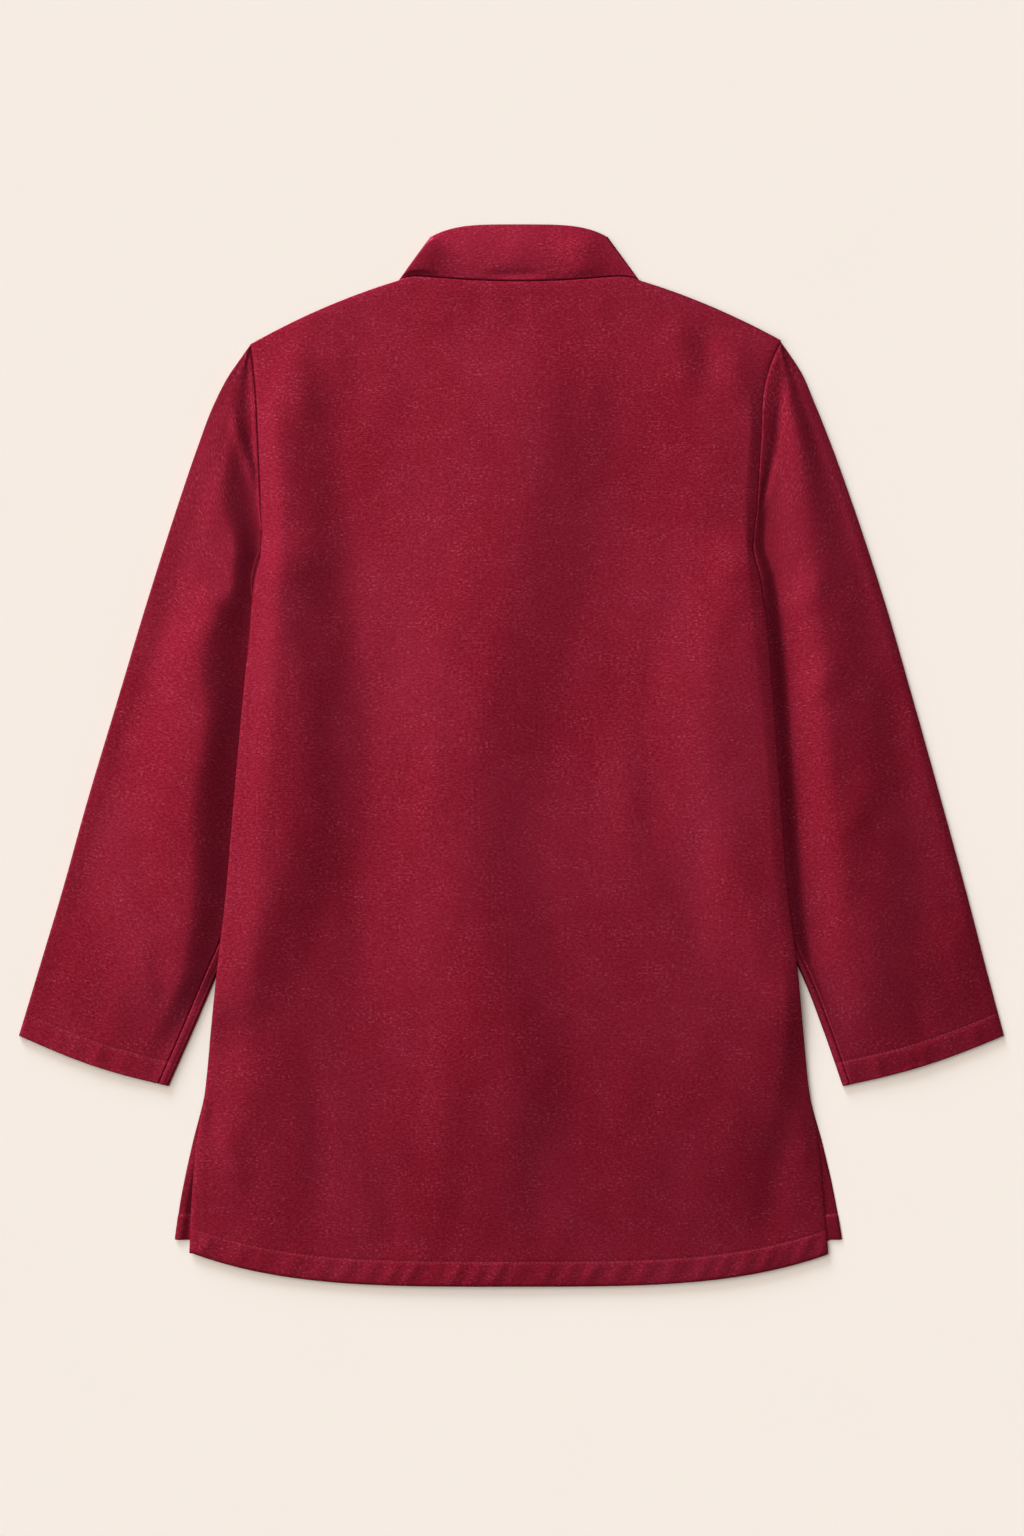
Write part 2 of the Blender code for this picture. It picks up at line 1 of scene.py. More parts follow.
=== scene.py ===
"""A short maroon silk kurta laid flat on a pale surface, face down, its back side up.

Each cut piece is a closed thin shell on the form of its solid: front and back panels, two sleeves pressed
flat, a band collar and the strips of the hidden neck opening. Cut sizes are millimetres, meshes are metres.
"""

from __future__ import annotations

import logging
from dataclasses import dataclass
from enum import Enum
from typing import Callable, NamedTuple, Sequence

import bpy
import numpy as np
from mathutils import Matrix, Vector


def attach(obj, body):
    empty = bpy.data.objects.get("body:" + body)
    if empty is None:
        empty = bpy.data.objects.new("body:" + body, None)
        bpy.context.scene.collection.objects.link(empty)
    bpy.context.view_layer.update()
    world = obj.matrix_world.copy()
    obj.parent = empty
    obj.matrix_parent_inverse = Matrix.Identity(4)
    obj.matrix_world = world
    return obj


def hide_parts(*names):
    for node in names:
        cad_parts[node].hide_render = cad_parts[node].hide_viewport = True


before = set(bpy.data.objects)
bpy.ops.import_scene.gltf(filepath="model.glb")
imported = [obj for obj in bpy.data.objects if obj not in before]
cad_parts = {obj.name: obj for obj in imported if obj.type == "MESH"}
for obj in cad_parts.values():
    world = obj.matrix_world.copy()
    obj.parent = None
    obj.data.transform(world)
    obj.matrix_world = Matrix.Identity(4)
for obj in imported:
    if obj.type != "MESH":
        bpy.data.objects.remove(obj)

LOG = logging.getLogger("kurta")
MM = 0.001
SEED = 7

# Plies and seams
PLY = 1.0
SHELL = 0.8
SEAM_GAP = 0.3
UPPER = PLY + SEAM_GAP
LIFT = 2 * PLY + 2 * SEAM_GAP
FOLD_RADIUS = PLY + SEAM_GAP / 2
TOP = UPPER + PLY
HEM_TURN = 19.0
CUFF_TURN = 18.0
HEM_RAISE = 0.45

# Neck, shoulders and hem
NECK_MIDDLE = 6.0
NECK_HALF = 96.0
NECK_HEIGHT = 379.0
FRONT_NECK_DROP = 64.0
FRONT_NECK_POWER = 2.6
SHOULDER_SLOPE = 0.30
SHOULDER_BEND = 0.0011
SHOULDER_SIDE = 329.0
HEM_SIDE = -398.0
HEM_DROP = 26.6
HEM_HALF = 255.0
HEM_POWER = 3.5
FRONT_SHORTER = 11.0
HEM_BLEND = 250.0
TOP_BLEND = 230.0
UNDERARM = 160.0

# Where the body lies over the sleeves
LIFT_TOP_RUN = 16.0
LIFT_FULL_TO = -190.0
LIFT_GONE_AT = -218.0
LIFT_MARGIN = 8.0
LIFT_RUN = 26.0

# Cuffs, each from its outer corner to its inner one, and the neck opening's lean
CUFF_OUT = 393.8
CUFF_OUTER_Y = -224.0
CUFF_INNER_Y = -264.4
CUFF_WIDTH = 126.0
CUFF_BOW = 4.0
CUFF_BOW_RUN = 140.0
OPENING_LEAN = 0.032
OPENING_MIDDLE = 310.0

# Collar
COLLAR_STAND = 44.0
COLLAR_TOP = 423.8
COLLAR_CORNER_DROP = 10.0
COLLAR_POWER = 4.0
COLLAR_TOP_HALF = 71.0
FRONT_COLLAR_POWER = 1.8
COLLAR_OPEN = 1.6
SEAM_TUCK = 3.0

# The camera's frame
PIXEL = 0.8
FRAME_SIZE = (1024, 1536)
FRAME_CENTRE = (0.4, -10.4)
CAMERA_HEIGHT = 3000.0
SENSOR = 36.0

Array = np.ndarray
Surface = Callable[[Array, Array], Array]


class Side(Enum):
    """Which sleeve: the name of its column in the tables, and its direction along X."""

    LEFT = -1.0
    RIGHT = 1.0

    @property
    def column(self) -> str:
        """The tables' column for this side."""
        return self.name.lower()


class Edge(NamedTuple):
    """A pair of edges at one height: x on the left and on the right."""

    y: float
    left: float
    right: float


class Flap(NamedTuple):
    """How far the front's slit flap stands out beyond the back's edge at one height."""

    y: float
    out: float


class Station(NamedTuple):
    """A line across the sleeves: the heights of its outer and inner ends."""

    y: float
    outer_y: float
    inner_y: float


class BodySection(NamedTuple):
    """The back's relief at one height: three crests with two hollows between them."""

    y: float
    crest_l_x: float
    crest_l_z: float
    hollow_l_x: float
    hollow_l_z: float
    crest_m_x: float
    crest_m_z: float
    hollow_r_x: float
    hollow_r_z: float
    crest_r_x: float
    crest_r_z: float


class SleeveSection(NamedTuple):
    """A sleeve's relief at one height; crest and foot are measured out from the body's edge."""

    y: float
    outer_z: float
    crest_in: float
    crest_z: float
    foot_in: float
    foot_z: float
    seam_z: float


class Crease(NamedTuple):
    """One soft trough (negative height) or ridge from a start to an end, widest halfway."""

    x0: float
    y0: float
    x1: float
    y1: float
    width: float
    height: float


class SeamStep(NamedTuple):
    """A line's rise from the plain cloth beside the underarm seam: always, and more where the seam shows."""

    high: float
    high_shown: float
    low: float
    low_shown: float


class SleeveLine(NamedTuple):
    """One line of a sleeve's wall: its shares of the width, and where it lies round a fold."""

    share: Array
    cosine: float
    sine: float

    @property
    def upper(self) -> bool:
        """Whether the line lies flat on the upper ply."""
        return self.sine == 1.0


class CollarLine(NamedTuple):
    """One line of the collar's wall from seam to upper edge, where it lies round a fold, and which fold."""

    low: Array
    high: Array
    cosine: float
    sine: float
    side: float

    @property
    def upper(self) -> bool:
        """Whether the line lies flat on the back half."""
        return self.sine == 1.0


class Sun(NamedTuple):
    """A distant light: where it shines from, its disc's width in degrees, its strength and colour."""

    name: str
    place: tuple[float, float, float]
    softness: float
    strength: float
    colour: tuple[float, float, float]


SIDES = (
    Edge(329.0, -208.8, 215.0),
    Edge(318.0, -207.3, 209.6),
    Edge(300.0, -205.5, 203.6),
    Edge(250.0, -202.8, 199.2),
    Edge(200.0, -200.8, 196.1),
    Edge(160.0, -200.4, 194.0),
    Edge(142.0, -204.8, 198.9),
    Edge(104.0, -208.4, 203.6),
    Edge(30.0, -215.6, 210.0),
    Edge(-47.0, -222.4, 215.6),
    Edge(-113.0, -228.0, 220.8),
    Edge(-171.0, -234.8, 228.1),
    Edge(-216.0, -239.6, 232.4),
    Edge(-268.0, -244.8, 238.0),
    Edge(-308.0, -251.2, 245.2),
    Edge(-354.0, -255.3, 249.6),
    Edge(-398.0, -257.2, 252.8),
)

FLAPS = (
    Flap(-216.0, 0.0),
    Flap(-268.0, 0.0),
    Flap(-308.0, 3.0),
    Flap(-354.0, 8.6),
    Flap(-398.0, 13.0),
)

SLEEVE_OUTER = (
    Edge(328.0, -209.6, 216.0),
    Edge(316.0, -217.8, 224.6),
    Edge(304.0, -226.0, 232.4),
    Edge(284.0, -236.4, 241.2),
    Edge(244.0, -251.6, 257.2),
    Edge(204.0, -265.2, 271.6),
    Edge(124.0, -290.8, 298.0),
    Edge(44.0, -314.8, 321.2),
    Edge(-36.0, -338.8, 343.6),
    Edge(-116.0, -361.2, 365.4),
    Edge(-170.0, -377.5, 379.4),
    Edge(-224.0, -393.8, 393.8),
)

SLEEVE_INNER = (
    Edge(160.0, -200.9, 194.5),
    Edge(150.0, -203.9, 197.7),
    Edge(142.0, -205.6, 199.6),
    Edge(134.0, -205.4, 199.4),
    Edge(126.0, -203.6, 197.4),
    Edge(108.0, -197.2, 190.8),
    Edge(84.0, -188.4, 182.8),
    Edge(52.0, -181.2, 175.6),
    Edge(20.0, -178.8, 173.2),
    Edge(-12.0, -180.4, 174.8),
    Edge(-44.0, -185.2, 179.6),
    Edge(-76.0, -194.0, 187.6),
    Edge(-108.0, -206.0, 199.6),
    Edge(-140.0, -219.6, 214.5),
    Edge(-178.0, -236.4, 233.0),
    Edge(-222.0, -255.2, 250.0),
    Edge(-264.4, -274.0, 264.8),
)

STATIONS = tuple(
    Station(float(-index), outer_y, inner_y)
    for index, (outer_y, inner_y) in enumerate((
        (328.0, 160.0), (306.0, 155.0), (282.0, 149.0), (252.0, 142.0), (216.0, 132.0), (168.0, 112.0),
        (120.0, 86.0), (86.0, 52.0), (52.0, 16.0), (16.0, -22.0), (-22.0, -62.0), (-64.0, -106.0),
        (-104.0, -146.0), (-142.0, -184.0), (-176.0, -218.0), (-224.0, -264.4),
    ))
)

BODY_SECTIONS = (
    BodySection(340.0, -162.0, 2.4, -122.0, 1.9, 8.0, 2.6, 80.0, 2.0, 168.0, 2.6),
    BodySection(290.0, -184.0, 3.4, -132.0, 1.1, 10.0, 4.0, 88.0, 2.3, 187.0, 3.9),
    BodySection(200.0, -182.0, 3.9, -126.0, 0.3, 6.0, 4.0, 84.0, 1.8, 186.0, 4.1),
    BodySection(100.0, -186.0, 3.8, -120.0, 0.6, -16.0, 4.0, 62.0, 1.8, 191.0, 4.0),
    BodySection(0.0, -190.0, 3.6, -116.0, 0.9, -30.0, 4.0, 40.0, 1.8, 202.0, 3.9),
    BodySection(-70.0, -196.0, 3.3, -112.0, 1.2, -36.0, 4.0, 30.0, 1.7, 207.0, 3.8),
    BodySection(-140.0, -200.0, 3.2, -114.0, 1.2, -28.0, 4.0, 38.0, 1.6, 213.0, 3.7),
    BodySection(-210.0, -204.0, 3.1, -120.0, 1.1, -10.0, 3.9, 52.0, 1.5, 218.0, 3.4),
    BodySection(-310.0, -210.0, 2.9, -128.0, 1.0, 0.0, 3.6, 56.0, 1.2, 200.0, 3.4),
    BodySection(-420.0, -214.0, 1.8, -138.0, 0.8, 2.0, 2.4, 56.0, 0.9, 180.0, 2.3),
)

LEFT_SLEEVE_SECTIONS = (
    SleeveSection(328.0, 0.8, 12.0, 0.9, 4.0, 0.6, 0.3),
    SleeveSection(300.0, 1.7, 14.0, 1.7, 4.0, 0.7, 0.75),
    SleeveSection(284.0, 2.3, 18.0, 2.0, 4.0, 0.8, 1.0),
    SleeveSection(250.0, 3.1, 26.0, 2.9, 5.0, 0.6, 1.1),
    SleeveSection(204.0, 3.6, 31.0, 4.1, 3.0, 0.3, 0.8),
    SleeveSection(160.0, 3.6, 22.0, 4.4, -2.0, 0.0, 0.4),
    SleeveSection(137.0, 3.4, 19.0, 4.6, -6.0, 0.0, 0.2),
    SleeveSection(98.0, 3.2, 37.0, 6.4, -8.0, 0.0, 0.1),
    SleeveSection(30.0, 3.2, 31.0, 6.5, -9.0, 0.0, 0.1),
    SleeveSection(-47.0, 3.2, 34.0, 6.6, -9.0, 0.0, 0.1),
    SleeveSection(-113.0, 2.8, 29.0, 5.8, -8.0, 0.0, 0.1),
    SleeveSection(-171.0, 2.1, 29.0, 4.5, -3.0, 0.2, 0.2),
    SleeveSection(-216.0, 1.4, 32.0, 2.6, 8.0, 0.5, 0.5),
    SleeveSection(-270.0, 0.9, 40.0, 1.3, 14.0, 0.6, 0.5),
)

RIGHT_SLEEVE_SECTIONS = (
    SleeveSection(328.0, 0.5, 16.0, 1.0, 6.0, 0.9, 1.1),
    SleeveSection(300.0, 0.7, 26.0, 1.9, 12.5, 1.7, 2.2),
    SleeveSection(284.0, 0.9, 32.0, 2.4, 12.5, 1.9, 2.7),
    SleeveSection(250.0, 1.0, 40.0, 2.9, 12.5, 1.9, 2.9),
    SleeveSection(204.0, 1.0, 46.0, 2.9, 8.5, 1.2, 2.4),
    SleeveSection(160.0, 0.9, 46.0, 2.8, 10.0, 0.1, 2.2),
    SleeveSection(124.0, 0.9, 46.0, 2.9, 12.0, -0.2, 2.8),
    SleeveSection(30.0, 0.9, 46.0, 2.9, 12.0, -0.2, 3.1),
    SleeveSection(-47.0, 0.9, 48.0, 2.9, 12.0, -0.2, 3.1),
    SleeveSection(-113.0, 0.9, 50.0, 2.8, 12.0, -0.2, 2.8),
    SleeveSection(-171.0, 0.8, 50.0, 2.4, 12.0, 0.0, 1.9),
    SleeveSection(-216.0, 0.6, 50.0, 1.9, 11.0, 0.2, 0.7),
    SleeveSection(-270.0, 0.4, 50.0, 1.2, 14.0, 0.4, 0.5),
)

BACK_CREASES = (
    Crease(-178.0, 336.0, -162.0, 262.0, 13.0, 0.7),
    Crease(-146.0, 330.0, -128.0, 292.0, 10.0, 0.35),
    Crease(-112.0, 330.0, -92.0, 262.0, 15.0, 0.35),
    Crease(128.0, 352.0, 140.0, 286.0, 12.0, 0.55),
    Crease(152.0, 342.0, 160.0, 300.0, 9.0, -0.5),
    Crease(180.0, 336.0, 178.0, 280.0, 11.0, 0.45),
    Crease(-196.0, 152.0, -140.0, 118.0, 9.0, 0.3),
    Crease(-190.0, 128.0, -150.0, 84.0, 10.0, -0.3),
    Crease(186.0, 152.0, 140.0, 120.0, 9.0, 0.25),
    Crease(190.0, 120.0, 158.0, 70.0, 10.0, -0.2),
    Crease(-150.0, 40.0, -142.0, -60.0, 16.0, -0.3),
    Crease(-126.0, -60.0, -118.0, -190.0, 18.0, -0.4),
    Crease(-60.0, 60.0, -66.0, -90.0, 16.0, 0.4),
    Crease(92.0, 40.0, 98.0, -120.0, 18.0, 0.5),
    Crease(150.0, -20.0, 148.0, -170.0, 16.0, -0.4),
    Crease(-158.0, -250.0, -152.0, -372.0, 13.0, -0.5),
    Crease(-104.0, -320.0, -96.0, -398.0, 13.0, -0.4),
    Crease(-50.0, -250.0, -62.0, -384.0, 15.0, 0.4),
    Crease(24.0, -290.0, 20.0, -392.0, 16.0, -0.5),
    Crease(92.0, -240.0, 100.0, -372.0, 18.0, 0.35),
    Crease(216.0, -292.0, 204.0, -392.0, 16.0, -0.9),
    Crease(-236.0, -292.0, -214.0, -348.0, 9.0, 0.5),
    Crease(-246.0, -276.0, -232.0, -312.0, 7.0, -0.4),
    Crease(228.0, -282.0, 236.0, -330.0, 8.0, 0.4),
    Crease(-30.0, 372.0, -18.0, 346.0, 9.0, -0.25),
    Crease(6.0, 370.0, 4.0, 336.0, 12.0, -0.3),
    Crease(-64.0, 374.0, -52.0, 344.0, 10.0, 0.25),
    Crease(74.0, 374.0, 66.0, 340.0, 10.0, 0.25),
)

LEFT_SLEEVE_CREASES = (
    Crease(-224.0, 276.0, -203.5, 212.0, 4.2, 1.0),
    Crease(-217.0, 304.0, -210.0, 270.0, 6.0, -0.4),
    Crease(-243.0, 262.0, -236.0, 176.0, 10.0, 0.4),
    Crease(-262.0, 150.0, -238.0, 112.0, 10.0, 0.4),
    Crease(-250.0, 130.0, -230.0, 120.0, 7.0, 0.5),
    Crease(-268.0, 96.0, -240.0, 60.0, 11.0, 0.4),
    Crease(-300.0, 20.0, -262.0, -30.0, 14.0, 0.4),
    Crease(-306.0, -60.0, -276.0, -150.0, 14.0, -0.4),
    Crease(-284.0, -150.0, -276.0, -210.0, 9.0, -0.5),
    Crease(-350.0, -120.0, -346.0, -210.0, 16.0, 0.3),
    Crease(-314.0, -170.0, -318.0, -232.0, 11.0, 0.3),
)

RIGHT_SLEEVE_CREASES = (
    Crease(217.5, 312.0, 212.0, 244.0, 2.4, -0.8),
    Crease(212.5, 252.0, 198.5, 194.0, 2.4, -0.7),
    Crease(208.5, 310.0, 212.0, 320.0, 3.0, 0.5),
    Crease(232.0, 290.0, 236.0, 200.0, 9.0, 0.3),
    Crease(252.0, 150.0, 226.0, 110.0, 10.0, 0.4),
    Crease(262.0, 80.0, 236.0, 40.0, 11.0, 0.4),
    Crease(300.0, 64.0, 322.0, -60.0, 14.0, -0.4),
    Crease(296.0, -10.0, 268.0, -66.0, 12.0, 0.4),
    Crease(318.0, -60.0, 330.0, -160.0, 15.0, -0.5),
    Crease(350.0, -130.0, 366.0, -212.0, 12.0, 0.4),
    Crease(286.0, -120.0, 296.0, -200.0, 13.0, 0.4),
    Crease(322.0, -180.0, 330.0, -238.0, 10.0, -0.4),
)

COLLAR_CREASES = (
    Crease(-20.0, 382.3, 26.0, 382.8, 4.6, -0.8),
    Crease(-88.0, 384.0, -66.0, 418.0, 20.0, 2.2),
    Crease(60.0, 380.0, 54.0, 416.0, 15.0, 0.8),
    Crease(6.0, 392.0, 2.0, 412.0, 10.0, 0.25),
)

SEAM_START = (
    SeamStep(-0.25, -0.70, -0.20, -0.55),
    SeamStep(0.0, -0.85, 0.0, -0.70),
    SeamStep(0.0, -0.35, 0.0, -0.30),
)
SEAM_PLAIN = SeamStep(0.0, 0.0, 0.0, 0.0)
SEAM_END = (SeamStep(0.02, 0.20, 0.02, 0.20),) * 4

SUNS = (
    Sun("sky", (-1.7, 1.06, 2.0), 90.0, 2.9, (1.01, 0.965, 0.92)),
    Sun("key", (-0.7, 1.9, 0.52), 20.0, 2.6, (0.93, 1.12, 1.30)),
)


def ease(value: Array | float) -> Array:
    """A smooth step: 3 t squared minus 2 t cubed, with t held between 0 and 1."""
    t = np.clip(value, 0.0, 1.0)
    return t * t * (3.0 - 2.0 * t)


def smooth_read(rows: Sequence[NamedTuple], column: str, at: Array | float) -> Array:
    """Read a table's column at any height: a cubic through its rows with slopes from their neighbours.

    Args:
        rows: A table whose rows have a y.
        column: The name of the column to read.
        at: Heights to read it at.

    Returns:
        The column's value at each height, held constant past the table's ends.
    """
    ordered = sorted(rows, key=lambda row: row.y)
    ys = np.array([row.y for row in ordered])
    values = np.array([getattr(row, column) for row in ordered])
    slopes = np.gradient(values, ys)
    at = np.clip(np.asarray(at, float), ys[0], ys[-1])
    i = np.clip(np.searchsorted(ys, at, side="right") - 1, 0, len(ys) - 2)
    step = ys[i + 1] - ys[i]
    t = (at - ys[i]) / step
    start = (1 + 2 * t) * (1 - t) ** 2 * values[i] + t * (1 - t) ** 2 * step * slopes[i]
    end = t * t * (3 - 2 * t) * values[i + 1] - t * t * (1 - t) * step * slopes[i + 1]
    return start + end


def spaced(length: float, fine: float, coarse: float, fine_start: float, fine_end: float) -> Array:
    """Positions from 0 to length, close together near both ends and coarser between them.

    Args:
        length: Where the last position lies.
        fine: Step near the ends.
        coarse: Step between them, rounded so that it divides the stretch.
        fine_start: Length of the fine stretch at the start.
        fine_end: Length of the fine stretch at the end.

    Returns:
        The positions in rising order.
    """
    first = np.arange(0.0, fine_start, fine)
    last = length - np.arange(0.0, fine_end, fine)[::-1]
    count = max(2, int(round((length - fine_start - fine_end) / coarse)))
    middle = np.linspace(fine_start, length - fine_end, count, endpoint=False)
    return np.concatenate([first, middle, last])


def section_height(x: Array, knots: Sequence[tuple[Array, Array]]) -> Array:
    """A lofted relief: between neighbouring knots the height follows a smooth step.

    Args:
        x: Places across the section.
        knots: Places and heights of the knots at each point's own height, in rising order of place.

    Returns:
        The relief's height at each point.
    """
    height = np.zeros_like(x)
    for (x0, z0), (x1, z1) in zip(knots, knots[1:]):
        inside = (x >= x0) & (x < x1)
        share = (x - x0) / np.maximum(x1 - x0, 1e-6)
        height = np.where(inside, z0 + (z1 - z0) * ease(share), height)
    return height


def crease_height(x: Array, y: Array, creases: Sequence[Crease]) -> Array:
    """Sum of the creases: a bell across each line, fading towards both of its ends.

    Args:
        x: Places across.
        y: Places up.
        creases: The table of creases.

    Returns:
        The height that they add at each place.
    """
    height = np.zeros_like(x)
    for crease in creases:
        run = np.array([crease.x1 - crease.x0, crease.y1 - crease.y0])
        length = np.hypot(*run)
        along = ((x - crease.x0) * run[0] + (y - crease.y0) * run[1]) / length**2
        nearest = np.clip(along, 0.0, 1.0)
        away = np.hypot(x - crease.x0 - nearest * run[0], y - crease.y0 - nearest * run[1])
        taper = ease(2.2 * np.clip(along + 0.12, 0, 1)) * ease(2.2 * np.clip(1.12 - along, 0, 1))
        height += crease.height * taper * np.exp(-((away / crease.width) ** 2))
    return height


def slack(x: Array, y: Array, seed: int, amount: float) -> Array:
    """Small uneven ripples of unstretched cloth: a sum of long sine waves, longer along than across.

    Args:
        x: Places across.
        y: Places up.
        seed: Start of the random draws.
        amount: Size of the ripples.

    Returns:
        The ripples' height at each place.
    """
    random = np.random.default_rng(seed)
    height = np.zeros_like(x)
    waves, longest_across = 26, 90.0
    for _ in range(waves):
        across = random.uniform(24.0, longest_across)
        along = random.uniform(60.0, 240.0)
        phase = random.uniform(0.0, 2.0 * np.pi)
        lean = random.choice((-1.0, 1.0))
        height += np.sin(2.0 * np.pi * (x / across + lean * y / along) + phase) * (across / longest_across)
    return amount * height / np.sqrt(waves - 1.0)


def tuck_row(
    along: Array, seed: int, count: int, steps: tuple[float, float], least: float, width: float
) -> Array:
    """Small tucks of a turned edge: a row of bells at uneven steps and of uneven height.

    Args:
        along: Places along the edge, from the row's start.
        seed: Start of the random draws.
        count: How many tucks there are.
        steps: Least and greatest distance from one tuck to the next.
        least: Height that the smallest may have; the greatest may have 1.
        width: Half width of a bell.

    Returns:
        The tucks' height at each place.
    """
    random = np.random.default_rng(seed)
    centres = np.cumsum(random.uniform(*steps, count))
    sizes = random.uniform(least, 1.0, count)
    height = np.zeros_like(along)
    for centre, size in zip(centres, sizes):
        height += size * np.exp(-(((along - centre) / width) ** 2))
    return height


def opening_shift(y: Array) -> Array:
    """How far the neck opening leans sideways at a height, nothing at its middle."""
    return OPENING_LEAN * (OPENING_MIDDLE - y)


@dataclass(frozen=True)
class Cut:
    """The garment's cut as it lies: every outline that more than one piece follows."""

    def body_edge(self, side: Side, y: Array) -> Array:
        """X of the body's side edge."""
        return smooth_read(SIDES, side.column, y)

    def sleeve_outer(self, side: Side, y: Array) -> Array:
        """X of the sleeve's outer edge."""
        return smooth_read(SLEEVE_OUTER, side.column, y)

    def sleeve_inner(self, side: Side, y: Array) -> Array:
        """X of the sleeve's inner edge, partly hidden under the body."""
        return smooth_read(SLEEVE_INNER, side.column, y)

    def hem(self, x: Array) -> Array:
        """The back's hem: lowest in the middle, rising to the corners."""
        return HEM_SIDE - HEM_DROP * (1.0 - np.clip(np.abs(x) / HEM_HALF, 0.0, 1.0) ** HEM_POWER)

    def back_neck(self, x: Array) -> Array:
        """The back neck seam: a shallow dip between two small rises beside the shoulders."""
        u = np.clip((x - NECK_MIDDLE) / NECK_HALF, -1.0, 1.0)
        return NECK_HEIGHT - 1.0 + 6.5 * u**2 - 5.5 * u**12

    def front_neck(self, x: Array) -> Array:
        """The front neckline: a rounded U."""
        u = np.clip(np.abs(x - NECK_MIDDLE) / NECK_HALF, 0.0, 1.0)
        return NECK_HEIGHT - FRONT_NECK_DROP * (1.0 - u**FRONT_NECK_POWER)

    def top(self, x: Array, front: bool) -> Array:
        """A panel's top edge: neckline in the middle, shoulder seams beside it.

        Args:
            x: Places across.
            front: Whether the neckline is the front's.

        Returns:
            The edge's height at each place.
        """
        away = np.maximum(np.abs(x - NECK_MIDDLE) - NECK_HALF, 0.0)
        shoulder = NECK_HEIGHT - SHOULDER_SLOPE * away - SHOULDER_BEND * away**2
        neck = self.front_neck(x) if front else self.back_neck(x)
        return np.where(away > 0.0, shoulder, neck)

    def lift(self, x: Array, y: Array, run: float = LIFT_RUN, ends: float = 0.0) -> Array:
        """Height that the body gains where the sleeves lie under it.

        Args:
            x: Places across.
            y: Places up.
            run: Distance inwards over which it falls off.
            ends: Extra length of its falls above and below.

        Returns:
            The lift at each place.
        """
        above = ease((UNDERARM + ends - y) / (LIFT_TOP_RUN + ends))
        down = above * ease((y - LIFT_GONE_AT + ends) / (LIFT_FULL_TO - LIFT_GONE_AT + ends))
        left = self.sleeve_inner(Side.LEFT, y) + LIFT_MARGIN
        right = self.sleeve_inner(Side.RIGHT, y) - LIFT_MARGIN
        over_left = 1.0 - ease((x - left) / run)
        over_right = 1.0 - ease((right - x) / run)
        return LIFT * down * np.maximum(over_left, over_right)

    def hem_depth(self, x: Array, y: Array) -> Array:
        """How far a point lies above the back's hem edge."""
        return y - self.hem(x)


CUT = Cut()


@dataclass
class Shell:
    """A closed thin wall between two grids of points, with a half-round rim along its border."""

    outer: Array
    inner: Array
    flat: Array
    rim_steps: int = 4

    def border(self) -> tuple[Array, Array, Array, Array]:
        """The border's grid points in order round the wall.

        Returns:
            Their rows and columns, then the rows and columns of the point just inside each.
        """
        rows, columns = self.outer.shape[:2]
        top = [(0, j) for j in range(columns)]
        right = [(i, columns - 1) for i in range(1, rows)]
        bottom = [(rows - 1, j) for j in range(columns - 2, -1, -1)]
        left = [(i, 0) for i in range(rows - 2, 0, -1)]
        ring = np.array(top + right + bottom + left)
        inside_rows = np.clip(ring[:, 0], 1, rows - 2)
        inside_columns = np.clip(ring[:, 1], 1, columns - 2)
        return ring[:, 0], ring[:, 1], inside_rows, inside_columns

    def arrays(self) -> tuple[Array, Array, Array]:
        """The closed wall: both grids joined by a rim.

        The rim's rings are at centre + half thickness x sine + outward direction x thickness x cosine,
        for angles from a quarter turn to minus a quarter turn.

        Returns:
            Points, four-sided faces and each point's place on the flat cloth.
        """
        rows, columns = self.outer.shape[:2]
        size = rows * columns
        grid = np.arange(size).reshape(rows, columns)
        a, b = grid[:-1, :-1], grid[:-1, 1:]
        c, d = grid[1:, 1:], grid[1:, :-1]
        front = np.stack([a, b, c, d], axis=-1).reshape(-1, 4)
        back = front[:, ::-1] + size

        i, j, k, m = self.border()
        outside, under = self.outer[i, j], self.inner[i, j]
        centre, half = (outside + under) / 2.0, (outside - under) / 2.0
        thick = np.linalg.norm(half, axis=1, keepdims=True)
        out = centre - (self.outer[k, m] + self.inner[k, m]) / 2.0
        out -= half * (np.sum(out * half, axis=1, keepdims=True) / thick**2)
        out /= np.maximum(np.linalg.norm(out, axis=1, keepdims=True), 1e-9)
        rings = [grid[i, j]]
        points = [self.outer.reshape(-1, 3), self.inner.reshape(-1, 3)]
        flats = [self.flat.reshape(-1, 2)] * 2
        start = 2 * size
        for step in range(1, self.rim_steps):
            angle = np.pi * (0.5 - step / self.rim_steps)
            points.append(centre + half * np.sin(angle) + out * thick * np.cos(angle))
            flats.append(self.flat[i, j])
            rings.append(np.arange(start, start + len(i)))
            start += len(i)
        rings.append(grid[i, j] + size)
        rim = []
        for upper, lower in zip(rings, rings[1:]):
            after_upper, after_lower = np.roll(upper, -1), np.roll(lower, -1)
            rim.append(np.stack([upper, lower, after_lower, after_upper], axis=-1))
        faces = np.concatenate([front, back, *rim])
        return np.concatenate(points), faces, np.concatenate(flats)


